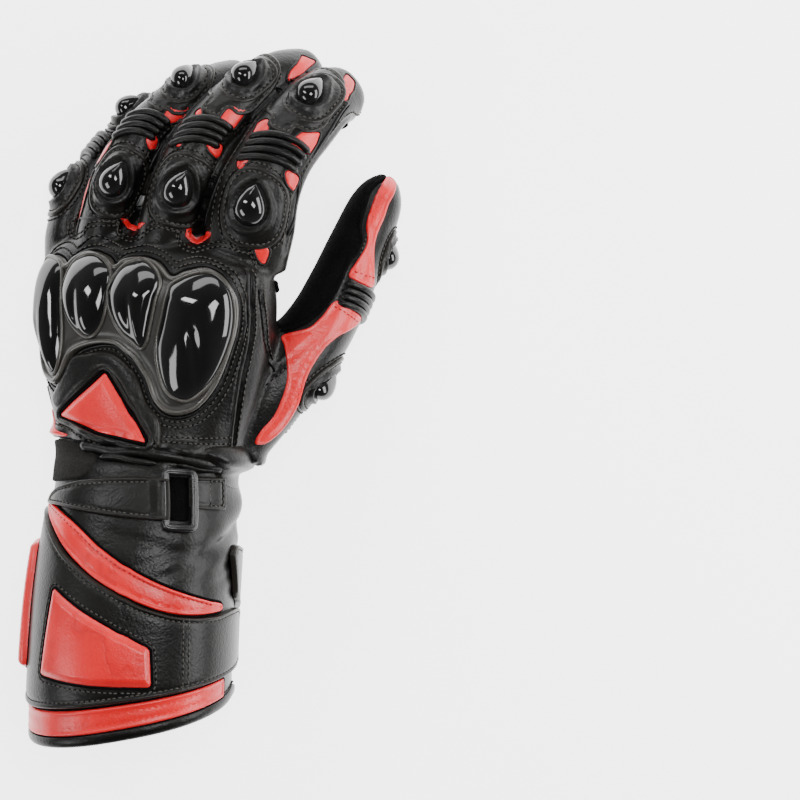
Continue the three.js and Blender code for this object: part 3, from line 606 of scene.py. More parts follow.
# Geometry Nodes for what follows a path: stitches, and swept cords such as piping and ribs.
def socketOf(tree, name):
    return next(s.identifier for s in tree.interface.items_tree if s.name == name and s.in_out == "INPUT")


def nodeTree(name, inputs):
    tree = bpy.data.node_groups.new(name, "GeometryNodeTree")
    tree.interface.new_socket("Geometry", in_out="INPUT", socket_type="NodeSocketGeometry")
    for key, (kind, value) in inputs.items():
        socket = tree.interface.new_socket(key, in_out="INPUT", socket_type=kind)
        if value is not None:
            socket.default_value = value
    tree.interface.new_socket("Geometry", in_out="OUTPUT", socket_type="NodeSocketGeometry")
    start, end = tree.nodes.new("NodeGroupInput"), tree.nodes.new("NodeGroupOutput")

    def add(kind, settings=None, **links):
        made = tree.nodes.new(kind)
        for key, value in (settings or {}).items():
            setattr(made, key, value)
        for key, value in links.items():
            socket = next(s for s in made.inputs if s.enabled and s.name == key.replace("_", " "))
            if isinstance(value, bpy.types.NodeSocket):
                tree.links.new(value, socket)
            else:
                socket.default_value = value
        return made

    def named(key):
        made = add("GeometryNodeInputNamedAttribute", {"data_type": "FLOAT_VECTOR"}, Name=key)
        return made.outputs["Attribute"]

    def close(geometrySocket):
        real = add("GeometryNodeRealizeInstances", Geometry=geometrySocket)
        smooth = add("GeometryNodeSetShadeSmooth", Geometry=real.outputs["Geometry"])
        painted = add("GeometryNodeSetMaterial", Geometry=smooth.outputs[0], Material=start.outputs["Finish"])
        tree.links.new(painted.outputs[0], end.inputs[0])

    return tree, start, add, named, close


def makeStitchTree():
    numbers = {"Length": ("NodeSocketFloat", 0.0021), "Width": ("NodeSocketFloat", 0.0008),
               "Height": ("NodeSocketFloat", 0.0006), "Finish": ("NodeSocketMaterial", None)}
    tree, start, add, named, close = nodeTree("Stitch_rows", numbers)
    bead = add("GeometryNodeMeshUVSphere", Segments=6, Rings=4, Radius=0.5)
    turnX = add("FunctionNodeAlignRotationToVector", {"axis": "X"}, Vector=named("along"))
    turnZ = add("FunctionNodeAlignRotationToVector", {"axis": "Z", "pivot_axis": "X"},
                Rotation=turnX.outputs[0], Vector=named("outward"))
    size = add("ShaderNodeCombineXYZ", X=start.outputs["Length"], Y=start.outputs["Width"],
               Z=start.outputs["Height"])
    rows = add("GeometryNodeInstanceOnPoints", Points=start.outputs["Geometry"],
               Instance=bead.outputs["Mesh"],
               Rotation=turnZ.outputs[0], Scale=size.outputs[0])
    close(rows.outputs[0])
    return tree


def makeSweepTree():
    numbers = {"Sides": ("NodeSocketInt", 8), "Finish": ("NodeSocketMaterial", None)}
    tree, start, add, named, close = nodeTree("Swept_cords", numbers)
    line = add("GeometryNodeMeshToCurve", Mesh=start.outputs["Geometry"])
    thick = add("GeometryNodeInputNamedAttribute", {"data_type": "FLOAT"}, Name="thick")
    ring = add("GeometryNodeCurvePrimitiveCircle", {"mode": "RADIUS"}, Resolution=start.outputs["Sides"],
               Radius=1.0)
    swept = add("GeometryNodeCurveToMesh", Curve=line.outputs[0], Profile_Curve=ring.outputs[0],
                Fill_Caps=True, Scale=thick.outputs["Attribute"])
    close(swept.outputs[0])
    return tree


stitchTree, sweepTree = makeStitchTree(), makeSweepTree()


def grown(name, tree, source, settings):
    modifier = source.modifiers.new("grow", "NODES")
    modifier.node_group = tree
    for key, value in settings.items():
        modifier[socketOf(tree, key)] = value
    bpy.context.view_layer.update()
    mesh = bpy.data.meshes.new_from_object(source.evaluated_get(bpy.context.evaluated_depsgraph_get()))
    mesh.name = name
    source.modifiers.clear()
    bpy.data.objects.remove(source)
    item = bpy.data.objects.new(name, mesh)
    bpy.context.scene.collection.objects.link(item)
    return item


threadValues = {"pitch": 2.2, "length": 1.7, "width": 0.72, "height": 0.6}
redThreadValues = {"pitch": 2.1, "length": 1.6, "width": 0.62, "height": 0.5}
shadeGrooves = []      # cords of painted shade under the stitches and round the pads, swept at the end


# Rows of stitches: each row is a ground, a path in s and t, and the lift of the thread.
def stitchPiece(name, rows, values=threadValues, finish=thread):
    places, alongs, outs = [], [], []
    for ground, path, lift in rows:
        path = np.array(path, float)
        closed = np.linalg.norm(path[0] - path[-1]) < 2.5
        line = resampled(path, values["pitch"], closed)
        if len(line) < 3:
            continue
        # Under each row of dark thread, a cord of painted shade.
        if finish is thread:
            shadeGrooves.append((ground, line, np.asarray(lift) - 0.3, 0.36, closed))
        points = ground.place(line[:, 0], line[:, 1], lift)
        above = ground.place(line[:, 0], line[:, 1], np.asarray(lift) + 1.0)
        ahead = np.roll(points, -1, axis=0) - np.roll(points, 1, axis=0)
        if not closed:
            ahead[0], ahead[-1] = points[1] - points[0], points[-1] - points[-2]
        places.append(points)
        alongs.append(unit(ahead))
        outs.append(unit(above - points))
    mesh = bpy.data.meshes.new(name)
    mesh.from_pydata([tuple(p) for p in np.vstack(places)], [], [])
    for key, parts in (("along", alongs), ("outward", outs)):
        made = mesh.attributes.new(key, "FLOAT_VECTOR", "POINT")
        made.data.foreach_set("vector", np.vstack(parts).astype(np.float32).ravel())
    source = bpy.data.objects.new(name + "_path", mesh)
    bpy.context.scene.collection.objects.link(source)
    sizes = {key: values[key.lower()] / 1000 for key in ("Length", "Width", "Height")}
    item = grown(name, stitchTree, source, {**sizes, "Finish": finish})
    print("glove:", name, len(np.vstack(places)), "stitches")
    return settle(item, finish)


# Swept cords: each is a ground, a path in s and t, a lift, a radius and whether the path is a loop.
def sweepPiece(name, cords, finish, sides=8, nodes=()):
    points, edges, thick = [], [], []
    for ground, path, lift, radius, closed in cords:
        path = np.array(path, float)
        made = ground.place(path[:, 0], path[:, 1], lift)
        first, count = len(points), len(path)
        points += list(made)
        ends = np.ones(count)
        if not closed:
            fade = np.minimum(np.arange(count), np.arange(count)[::-1])
            ends = np.sqrt(np.clip(fade / 2.0, 0.06, 1))
        thick += list(ends * radius / 1000)
        edges += [(first + i, first + i + 1) for i in range(count - 1)]
        if closed:
            edges.append((first + count - 1, first))
    mesh = bpy.data.meshes.new(name)
    mesh.from_pydata([tuple(p) for p in points], edges, [])
    mesh.attributes.new("thick", "FLOAT", "POINT").data.foreach_set("value", np.array(thick, np.float32))
    source = bpy.data.objects.new(name + "_path", mesh)
    bpy.context.scene.collection.objects.link(source)
    item = grown(name, sweepTree, source, {"Sides": sides, "Finish": finish})
    return settle(item, finish, nodes)


# Leather of the hand: the palm and the fingers grown into one skin, with sewn lines pressed in.
handValues = {
    "voxel": 1.45, "wristCut": 110.6, "wall": 1.5, "lip": 2.3, "blend": 14,
    "full": {"index": (-24, 9, 1.2), "middle": (22, 8, 1.0)},      # fuller sides: middle in t, reach, height
    "gussets": [((-3.5, 67, 37), (9, 11, 9)), ((-32, 69, 30), (8, 9, 9)), ((-31.5, 79, 30), (6, 8, 8)),
                ((-53, 69, 19), (7, 8, 8))]}      # leather between the fingers: middle and radii
# Sewn lines on the hand: a path in s and t, then the depth and the half width of the dip.
handSeams = [
    ([(193, 52.5), (183, 53.8), (165.6, 53.6), (152.8, 50.9), (140.8, 46.8), (130.4, 44.6), (119, 44),
      (111, 44.6)], 1.7, 1.0),
    ([(184, 58), (170.4, 59.4), (158, 61), (148, 65.5), (135.2, 62.5), (125.6, 58), (118.4, 55.6),
      (111, 53)], 1.3, 0.9),
]
# Seams along the fingers: their t on both sides.
fingerSeams = {
    "index": (-17.5, 19.5), "middle": (-16.5, 17), "ring": (-15.5, 16), "little": (-14, 15),
    "thumb": (-21, 14),
}


def seamPlace(tube, s, t, reach=0.62):      # narrower where the tube is, so that the seam stays at its side
    return np.sign(t) * np.minimum(abs(t), tube.halfRound(s) * reach)


def tubeMesh(name, tube, first, full=None, step=1.4, sides=72):
    tipPlaces = tube.base + tube.tip * np.radians([0, 12, 24, 36, 48, 60, 71, 80, 86])
    stations = np.concatenate([np.arange(first, tube.base, step), tipPlaces])
    half = tube.halfRound(stations)
    columns = np.linspace(-1, 1, sides, endpoint=False)
    s, t = np.repeat(stations, sides), (half[:, None] * columns).ravel()
    points = tube.at(s, t)
    if full:
        middle, reach, height = full
        points = tube.at(s, t, height * bell(t - middle, reach) * np.clip((72 - s) / 12, 0, 1))
    rows = len(stations)
    ends = np.stack([points[:sides].mean(axis=0), points[-sides:].mean(axis=0)])
    faces = []
    for j in range(sides):
        k = (j + 1) % sides
        for i in range(rows - 1):
            faces.append((i * sides + j, i * sides + k, (i + 1) * sides + k, (i + 1) * sides + j))
        faces.append((k, j, rows * sides))
        faces.append(((rows - 1) * sides + j, (rows - 1) * sides + k, rows * sides + 1))
    return newObject(name, np.vstack([points, ends]), faces)


def meshArrays(item):
    points = np.empty(len(item.data.vertices) * 3)
    item.data.vertices.foreach_get("co", points)
    edges = np.empty(len(item.data.edges) * 2, int)
    item.data.edges.foreach_get("vertices", edges)
    normals = np.empty(len(points))
    item.data.vertices.foreach_get("normal", normals)
    return points.reshape(-1, 3), edges.reshape(-1, 2), normals.reshape(-1, 3)


def neighbourMean(points, edges, degree):
    total = np.zeros_like(points)
    np.add.at(total, edges[:, 0], points[edges[:, 1]])
    np.add.at(total, edges[:, 1], points[edges[:, 0]])
    return total / degree[:, None]


def growHand():
    parts = [tubeMesh("arm_part", arm, 100)]
    for name, tube in fingerTubes.items():
        first = -3 if name == "thumb" else 0
        parts.append(tubeMesh(name + "_part", tube, first, handValues["full"].get(name)))
    for middle, radii in handValues["gussets"]:
        shape = bmesh.new()
        bmesh.ops.create_icosphere(shape, subdivisions=3, radius=1.0)
        bmesh.ops.scale(shape, vec=Vector(radii) / 1000, verts=shape.verts)
        bmesh.ops.translate(shape, vec=Vector(middle) / 1000, verts=shape.verts)
        mesh = bpy.data.meshes.new("gusset")
        shape.to_mesh(mesh)
        shape.free()
        part = bpy.data.objects.new("gusset", mesh)
        bpy.context.scene.collection.objects.link(part)
        parts.append(part)
    skin = joined("hand_skin", parts)
    remesh = skin.modifiers.new("grow", "REMESH")
    remesh.mode, remesh.voxel_size = "VOXEL", handValues["voxel"] / 1000
    bpy.context.view_layer.update()
    mesh = bpy.data.meshes.new_from_object(skin.evaluated_get(bpy.context.evaluated_depsgraph_get()))
    skin.modifiers.clear()
    skin.data = mesh
    points, edges, normals = meshArrays(skin)
    degree = np.maximum(np.bincount(edges.ravel(), minlength=len(points)), 1)
    for _ in range(6):
        points += 0.5 * (neighbourMean(points, edges, degree) - points)
        points -= 0.52 * (neighbourMean(points, edges, degree) - points)
    # Where the tubes meet, the leather runs over in a soft hollow.
    hollow = np.sum((neighbourMean(points, edges, degree) - points) * normals, axis=1)
    weight = np.clip((hollow * 1000 - 0.06) / 0.12, 0, 1)
    for _ in range(3):
        spread = neighbourMean(weight[:, None], edges, degree)[:, 0]
        weight = np.clip(np.maximum(weight, spread * 1.15), 0, 1)
    for _ in range(handValues["blend"]):
        points += (0.6 * weight)[:, None] * (neighbourMean(points, edges, degree) - points)
    centre, along, up, side, _ = arm.section(np.array([handValues["wristCut"]]))
    cutPoint, cutNormal = (centre[0] - tableMiddle) / 1000, along[0]
    skin.data.vertices.foreach_set("co", points.ravel())
    shape = bmesh.new()
    shape.from_mesh(skin.data)
    bmesh.ops.bisect_plane(shape, geom=shape.verts[:] + shape.edges[:] + shape.faces[:], dist=1e-6,
                           plane_co=Vector(cutPoint), plane_no=Vector(cutNormal), clear_inner=True)
    shape.to_mesh(skin.data)
    shape.free()
    points, edges, normals = meshArrays(skin)
    # The edge at the wrist is a soft lip over the gathers.
    height = (points - cutPoint) @ cutNormal * 1000
    lip = handValues["lip"] * bell(height - 2.2, 2.6)
    roundPlace = np.arctan2((points - cutPoint) @ side[0], (points - cutPoint) @ up[0])
    wave = 1 + 0.35 * np.sin(roundPlace * 9 + 0.6) + 0.25 * np.sin(roundPlace * 17 + 2)
    points += normals * (lip * wave / 1000)[:, None]
    # Sewn lines, pressed in, with painted shade along them.
    shade, press = np.zeros(len(points)), np.zeros(len(points))
    lines = [(arm, curved(path, 0.6, False), depth, wide) for path, depth, wide in handSeams]
    for name, sides in fingerSeams.items():
        tube = fingerTubes[name]
        for t in sides:
            s = np.arange(10 if name != "thumb" else 16, tube.base + 6, 0.6)
            lines.append((tube, np.stack([s, seamPlace(tube, s, t)], axis=1), 0.55, 0.9))
    for tube, path, depth, wide in lines:
        line = tube.at(path[:, 0], path[:, 1])
        tree = KDTree(len(line))
        for i, p in enumerate(line):
            tree.insert(p, i)
        tree.balance()
        low, high = line.min(axis=0) - 0.006, line.max(axis=0) + 0.006
        near = np.nonzero(np.all((points > low) & (points < high), axis=1))[0]
        for i in near:
            away = tree.find(points[i])[2] * 1000
            if away < 4:
                press[i] = max(press[i], depth * math.exp(-((away / wide) ** 2)))
                press[i] -= 0.22 * math.exp(-(((away - 2.2) / 0.9) ** 2))
                shade[i] = max(shade[i], math.exp(-((away / (0.6 * wide)) ** 2)))
    # Small wrinkles of worn leather.
    crumple = np.array([noise.fractal(Vector(p * 55.0), 1.0, 2.0, 3) for p in points])
    points += normals * ((0.22 * crumple - press) / 1000)[:, None]
    points[:, 2] = np.maximum(points[:, 2], 0.0)
    skin.data.vertices.foreach_set("co", points.ravel())
    skin.data.attributes.new("shade", "FLOAT", "POINT").data.foreach_set("value", shade.astype(np.float32))
    skin.data.update()
    faces = [tuple(f.vertices) for f in skin.data.polygons]
    tree = BVHTree.FromPolygons([Vector(p) for p in points], faces)
    solidify = skin.modifiers.new("wall", "SOLIDIFY")
    solidify.thickness, solidify.offset = handValues["wall"] / 1000, -1
    bpy.context.view_layer.update()
    mesh = bpy.data.meshes.new_from_object(skin.evaluated_get(bpy.context.evaluated_depsgraph_get()))
    skin.modifiers.clear()
    skin.data = mesh
    mesh.shade_smooth()
    skin.name = "Hand_leather"
    settle(skin, blackLeather,
           ["hand", "index_finger", "middle_finger", "ring_finger", "little_finger", "thumb"])
    print("glove: hand leather,", len(mesh.polygons), "faces")
    return tree


handSkin = growHand()
onHand = Ground(arm, handSkin)
onFinger = {name: Ground(tube, handSkin) for name, tube in fingerTubes.items()}
fromAbove = FromAbove(handSkin)
onCuff = Ground(arm)
overCuff = Ground(arm, soft=0.15)      # layers that bridge the folds

# Cuff: a walled shell, gathered at the wrist, with a bound rim.
cuffValues = {"from": 2.6, "to": 113.0, "step": 1.3, "columns": 190, "wall": 1.9, "tuck": 1.3}


def makeCuff():
    stations = np.arange(cuffValues["from"], cuffValues["to"] + 0.1, cuffValues["step"])
    innerStations = stations[::3]
    if innerStations[-1] != stations[-1]:
        innerStations = np.append(innerStations, stations[-1])
    columns = cuffValues["columns"]

    def ringOf(rows, lift):
        half = arm.halfRound(rows)
        t = (half[:, None] * np.linspace(-1, 1, columns, endpoint=False)).ravel()
        s = np.repeat(rows, columns)
        tuck = cuffValues["tuck"] * np.clip((s - 106) / 5, 0, 1) ** 2
        spots = np.stack([s * 0.05, t * 0.05, np.full(len(s), 3.0)], axis=1)
        crumple = np.array([noise.fractal(Vector(p), 1.0, 2.0, 3) for p in spots])
        return arm.at(s, t, lift - tuck + 0.3 * crumple)

    points = np.vstack([ringOf(stations, 0.0), ringOf(innerStations, -cuffValues["wall"])])
    outerRows, innerRows = len(stations), len(innerStations)
    start = outerRows * columns
    faces = []
    for j in range(columns):
        k = (j + 1) % columns
        for i in range(outerRows - 1):
            faces.append((i * columns + j, i * columns + k, (i + 1) * columns + k, (i + 1) * columns + j))
        for i in range(innerRows - 1):
            a, b = start + i * columns, start + (i + 1) * columns
            faces.append((a + k, a + j, b + j, b + k))
        faces.append((k, j, start + j, start + k))
        top, innerTop = (outerRows - 1) * columns, start + (innerRows - 1) * columns
        faces.append((top + j, top + k, innerTop + k, innerTop + j))
    settle(newObject("Cuff_leather", points, faces), blackLeather, ["cuff"])

    turns = np.linspace(0, 2 * math.pi, 15)[:-1]
    half = arm.halfRound(np.array([0.0]))[0]
    around = np.linspace(-half, half, 220, endpoint=False)
    loops = []
    for turn in turns:
        s = 1.7 - 2.9 * max(0.0, math.cos(turn)) ** 0.8 + 1.6 * max(0.0, -math.cos(turn)) ** 0.5
        lift = -0.7 + 1.75 * math.sin(turn)
        loops.append(arm.at(np.full(len(around), s), around, lift))
    faces = []
    rows, wide = len(loops), len(around)
    for i in range(rows):
        for j in range(wide):
            a, b = i * wide, ((i + 1) % rows) * wide
            k = (j + 1) % wide
            faces.append((a + j, a + k, b + k, b + j))
    settle(newObject("Rim_binding", np.vstack(loops), faces), blackLeather, ["rim_binding"])


makeCuff()
print("glove: cuff made")

# Knuckle guard: a satin frame moulded to the hand, a glossy shell over each knuckle, raised rims.
guardValues = {"frameTop": 2.5, "shellTop": 9.0, "rimRadius": 0.95}
guardOutline = [
    (150, -48), (141, -44.5), (137, -38), (141, -33), (151, -27), (155, -16), (154.5, -6.5), (149, 0),
    (140, 6), (131, 9.5), (126.4, 16), (129, 26), (139, 35.5), (151, 42), (165, 46.8), (178, 47),
    (187.5, 42.5), (191.5, 34), (189.5, 25), (187, 19.4), (191.5, 12.5), (193, 4), (191.5, -4), (189, -8.1),
    (191.5, -12.5), (193, -22), (191, -29), (187.5, -33.5), (189.5, -38), (190, -45), (184, -49),
    (168, -49.5)]
knuckles = {
    "little": {"centre": (168, -40), "split": 0.5, "outline": [
        (187, -47.4), (189.2, -43), (185.6, -35.4), (169.6, -32.6), (156, -32.6), (145.6, -35), (142, -38),
        (152, -43.4), (165, -47), (178, -48.2)]},
    "ring": {"centre": (175.5, -20.5), "split": 0.8, "outline": [
        (189.2, -27.3), (191.4, -19.5), (189.2, -12), (184, -8.6), (172, -9.6), (162.5, -13.2),
        (158.6, -18.4), (164, -25.2), (172.4, -30.2), (181, -31.6)]},
    "middle": {"centre": (173.5, 3), "split": 0.8, "outline": [
        (191.4, 4.5), (188.6, 11.6), (183, 14.6), (174, 12.6), (163.6, 10), (154.6, 7.2), (153.2, 4.2),
        (162.6, -3.4), (172, -7.6), (180.6, -8.2), (188.4, -3)]},
    "index": {"centre": (161.5, 29), "split": 1.0, "outline": [
        (183.4, 20.2), (188.6, 28.9), (189, 37.5), (182.4, 43.8), (168, 45), (154.4, 41.4), (142.4, 34.8),
        (134.4, 26.1), (132.6, 20.5), (136, 14.6), (145.6, 12), (156.8, 12.8), (168, 15.8), (177, 18)]},
}


def makeGuard():
    outline = curved(guardOutline, 0.9)
    frameTop = guardValues["frameTop"]

    def relief(depth, s, t):
        return 0.4 + (frameTop - 0.4) * rounded(depth, 1.6) - 0.5 * bell(depth - 3.4, 1.0)

    settle(panel("Knuckle_frame", onHand, outline, relief, -0.4, 1.3, (0.3, 0.7, 1.2, 1.8, 2.6, 3.4, 4.2)),
           satinPlastic, ["knuckle_frame"])
    rims = [(onHand, movedIn(outline, 1.1), frameTop - 0.3, 1.15, True)]
    for name, values in knuckles.items():
        loop = curved(values["outline"], 0.6)
        out = loop - values["centre"]
        loop = loop[np.argsort(np.arctan2(out[:, 1], out[:, 0]))]
        low, high = loop[:, 1].min(), loop[:, 1].max()
        split, middleS = values["split"], values["centre"][0]

        # A dome that a valley parts into two lobes in its lower half.
        def height(rho, s, t, low=low, high=high, split=split, middleS=middleS):
            dome = (1 - np.clip(rho, 0, 1) ** 2) ** 0.58
            part = (t - low) / (high - low)
            fade = 1 / (1 + np.exp((s - middleS - 2) / 2.2))
            valley = bell(part - 0.46, 0.075) * (1 - rho**2) * fade
            lobe = bell(part - 0.27, 0.13) * (1 - rho**2) * fade
            rise = (guardValues["shellTop"] - frameTop) * dome * 0.95
            return frameTop - 0.2 + rise - split * (1.5 * valley - 0.5 * lobe)

        shell = cap(name.capitalize() + "_knuckle_shell", onHand, loop, values["centre"], height, 1.2, 22, 96)
        settle(shell, glossArmour, [name + "_knuckle_shell"])
        rim = resampled(movedIn(loop, -0.35), 1.0)
        rims.append((onHand, rim, frameTop + 0.1, guardValues["rimRadius"], True))
    sweepPiece("Guard_rims", rims, rimPlastic, 10)
    return outline


guardLoop = makeGuard()
print("glove: knuckle guard made")

# Fingers: a padded collar with a glossy dome at each joint, ribs between, and red windows.
# Rows: finger, joint, s, t, half length, half width, half length of the dome.
fingerArmour = [
    ("index", 1, 26, 3.3, 15.5, 14.5, 8.5), ("index", 2, 76, 0.8, 13.5, 11.5, 7),
    ("middle", 1, 35, 7.2, 14.8, 14.6, 7.8), ("middle", 2, 87, 0.5, 12.5, 10, 6.5),
    ("ring", 1, 38, 8.2, 14.2, 12.4, 7.4), ("ring", 2, 86, 2, 12, 9.5, 6.3),
    ("little", 1, 31, -2, 12.5, 10.5, 6.5), ("little", 2, 72, -2.5, 11, 9, 5.8),
    ("thumb", 1, 41, 4.5, 15, 12, 7.5), ("thumb", 2, 103, 2.5, 13, 10, 6.8)]
# Ribs: finger, from and to along it, left and right edge round it, climb along per millimetre round.
ribs = [("index", 43, 54.5, -12, 15, 0.22), ("middle", 52.5, 64.5, -8, 13, 0.4),
        ("ring", 55.5, 67, -6, 13, 0.4), ("little", 46, 58, -11, 6, 0.2), ("thumb", 70.5, 82, -21, 13, 0.05)]
# Leather overlays round the outer collars: finger, s, t, half length, half width, length of the tongue.
tipOverlays = [("index", 76, -1.5, 15.5, 13.2, 21), ("middle", 87, 0.5, 14.5, 12, 21.5),
               ("ring", 86, 2, 13.8, 11.4, 17.5)]
# Their outline, in half lengths and half widths: the body, then two corners after the tongue.
overlayBody = [(-0.55, -1.12), (0, -1.08), (0.62, -0.98), (1, -0.82), (1.06, -0.2), (0.9, 0.45), (0.42, 0.92),
               (-0.1, 1.06), (-0.62, 1.1), (-1.02, 0.8), (-1.1, 0.42)]
overlayCorners = [(-1.1, -0.5), (-0.95, -0.9)]
domeValues = {"top": 6.6, "foot": 0.7, "narrow": 0.76, "point": 0.85, "roundness": 0.6}
ribValues = {"count": 4, "lift": 0.45, "fill": 0.55}


def superOval(centre, length, width, power=2.4, count=90):
    turns = np.linspace(0, 2 * math.pi, count, endpoint=False)
    x, y = signedPower(np.cos(turns), 2 / power), signedPower(np.sin(turns), 2 / power)
    return np.stack([centre[0] + length * x, centre[1] + width * y], axis=1)


# A drop with its point towards the fingertip.
def drop(centre, length, width, point, count=90):
    turns = np.linspace(0, 2 * math.pi, count, endpoint=False)
    across = np.sin(turns) * np.abs(np.sin(turns / 2)) ** point
    across /= np.abs(across).max()
    return np.stack([centre[0] + length * np.cos(turns), centre[1] + width * across], axis=1)


fingerStitches = []


def makeFingerArmour():
    for name, joint, s, t, length, width, dome in fingerArmour:
        ground = onFinger[name]
        loop = resampled(superOval((s, t), length, width, 2.5), 0.9)
        middle = (s + 1, t - 1.5)
        shell = drop(middle, dome, dome * domeValues["narrow"], domeValues["point"])

        def relief(depth, a, b, shell=shell):
            flat = np.stack([a, b], axis=1)
            away = edgeDistance(flat, shell) * np.where(isInside(flat, shell), -1, 1)
            pad = 1.6 * bell(away - 1.9, 0.95) * np.clip(depth / 1.6, 0, 1)
            return 0.3 + 0.9 * rounded(depth, 1.0) + pad - 0.4 * bell(depth - 2.1, 0.55)

        settle(panel(f"{name.capitalize()}_collar_{joint}", ground, loop, relief, -0.4, 1.1,
                     (0.3, 0.7, 1.2, 1.8, 2.4, 3.0)), blackLeather, [f"{name}_collar_{joint}"])
        fingerStitches.append((ground, movedIn(loop, 2.1), 0.95))
        fingerStitches.append((ground, movedIn(loop, -1.3), 0.25))

        # The dome leans back, away from the fingertip.
        def height(rho, a, b, middle=middle, dome=dome):
            lean = 0.5 - 0.5 * (a - middle[0]) / dome
            rise = (domeValues["top"] - domeValues["foot"]) * (1 - rho**2) ** domeValues["roundness"]
            return domeValues["foot"] + rise * (0.74 + 0.34 * lean)

        settle(cap(f"{name.capitalize()}_dome_{joint}", ground, shell, middle, height, 0.5, 18, 64),
               glossArmour, [f"{name}_dome_{joint}"])

    for name, s, t, long, wide, tongue in tipOverlays:
        body, corners = ([(a * long, b * wide) for a, b in rows] for rows in (overlayBody, overlayCorners))
        shape = body + [(-tongue, 0.36 * wide), (-tongue, -0.42 * wide)] + corners
        loop = curved([(s + a, t + b) for a, b in shape], 0.9)
        settle(panel(f"{name.capitalize()}_overlay", onFinger[name], loop, turnedEdge(0.75, 1.7, 0.2, 0.05),
                     -0.4, 1.5), blackLeather)
        fingerStitches.append((onFinger[name], movedIn(loop, 1.7), 0.5))

    for name, first, last, left, right, climb in ribs:
        ground = onFinger[name]
        cords = []
        pitch = (last - first) / ribValues["count"]
        for k in range(ribValues["count"]):
            t = np.linspace(left, right, 30)
            arch = 2.2 * (1 - ((t - (left + right) / 2) / ((right - left) / 2)) ** 2) - 1.2
            s = first + (k + 0.5) * pitch + arch + (t - (left + right) / 2) * climb
            cords.append((ground, np.stack([s, t], axis=1), ribValues["lift"], pitch * ribValues["fill"], False))
        sweepPiece(f"{name.capitalize()}_stretch_ribs", cords, blackLeather, 12,
                   [f"{name}_stretch_panel"])


makeFingerArmour()
# Red windows on the fingers: finger, outline in s and t, radius of the corners.
fingerReds = [
    ("index", [(53.6, 5.6), (59.2, 7), (61.5, 9.8), (64.8, 13.4), (60, 15.2), (54.4, 15.6), (52.6, 10.7)],
     0.8),
    ("index", [(50.6, -11.8), (55.4, -12.8), (57.6, -9.7), (57.2, -7.2), (53.4, -5.2), (50.2, -6.2)], 0.8),
    ("index", [(44, 10), (46, 11.7), (45, 17.2), (42.4, 17.8), (38.4, 17.6), (40, 13.5), (42, 11.5)], 0.8),
    ("index", [(40, -11.4), (42.8, -8.8), (43.2, -5.6), (41.3, -6.1), (37.6, -7.2), (37.6, -9.6)], 0.7),
    ("index", [(95.2, -3), (96, 2.2), (92, 7.2), (85, 12.2), (82.8, 10.4), (87, 6), (91, 1)], 0.8),
    ("middle", [(66.4, 5.6), (72.8, 4.8), (77.8, 5.8), (78.4, 9.8), (74.4, 12), (67.2, 13.2), (65.3, 9.8)],
     0.8),
    ("middle", [(56, 6.4), (58, 8.8), (58.6, 13.9), (56, 15.6), (52.4, 15), (53.6, 10)], 0.8),
    ("middle", [(51.4, -5.6), (53, -2.6), (50.2, -1.6), (49.2, -3.8)], 0.5),
    ("middle", [(63.4, -6), (66, -4.6), (64, -2), (62, -3.4)], 0.5),
    ("middle", [(112.8, -0.4), (115.4, 0.8), (118.6, 1.6), (114.4, 5), (108.8, 9.5), (104, 11.6),
                (99.6, 11.6), (103, 8.4), (107.8, 5.6), (110.4, 2.6)], 0.8),
    ("ring", [(68, 8.6), (72.8, 7.1), (77.6, 8.2), (79.8, 12.8), (76, 14.2), (71.2, 14), (67.6, 12)], 0.8),
    ("ring", [(59.8, 8.8), (61.2, 11.9), (60.2, 14.6), (56.8, 16), (54.8, 13.6), (57, 10)], 0.8),
    ("ring", [(52, -5), (49, -8.2), (46, -10.4), (42, -10.4), (39.4, -8.4), (41.5, -6), (47, -4.6)], 0.8),
    ("ring", [(38, -8.4), (31, -9.8), (25, -11.6), (19, -13.4), (13.5, -14.8), (12.5, -11), (17, -8.2),
              (24, -6.6), (31, -6.2)], 0.8),
]
# Red leather where the fingers part, and a little triangle at the index finger's root, in x and y.
crotchReds = [
    [(-39.4, 73.6), (-38.2, 71.2), (-36.1, 68.5), (-33.4, 67.4), (-29.5, 67.8), (-26.2, 70.4), (-28.8, 71.2),
     (-32, 70.6), (-34.4, 71.2), (-35.6, 73.4)],
    [(-8.2, 70.8), (-10, 67.6), (-10.4, 64.5), (-8, 61.8), (-4.5, 60.6), (-1.2, 62.4), (1.5, 63.9), (2, 66),
     (-0.4, 66.9), (-3.6, 65.6), (-5.8, 64.6), (-7.2, 66.2), (-6.6, 69.6)],
]
rootRed = [(19.6, 58.8), (25.6, 59.2), (26.2, 57.2), (24.4, 52.4), (22.6, 52.4), (20.8, 55.2)]
# Turned hems and rows of stitches at the roots of the fingers, in x and y.
rootHems = [
    [(-63, 73.4), (-57, 73.6), (-52.3, 73.2), (-45, 73.1), (-40, 73.6)],
    [(-25.7, 70.6), (-20.5, 71.9), (-12, 70.4)],
    [(3.2, 63), (12.2, 61), (20, 59.6)]]
rootStitches = [
    [(-39.9, 72.2), (-39.2, 68.4), (-36, 65.4), (-31.4, 64.9), (-27, 66.9), (-24.1, 69.4), (-18, 70),
     (-13, 68.8)],
    [(-12.8, 68.6), (-13.2, 65.6), (-11.3, 61.9), (-6.6, 59.3), (-1.9, 60.2), (2.7, 61.5), (7.2, 61.4),
     (13, 59.4), (18.3, 57.9), (20.6, 52.9)],
    [(-63.3, 72.4), (-63.3, 69), (-59, 66.7), (-54.6, 68.4), (-52.6, 71.3), (-46, 71.6), (-41, 71.8)]]


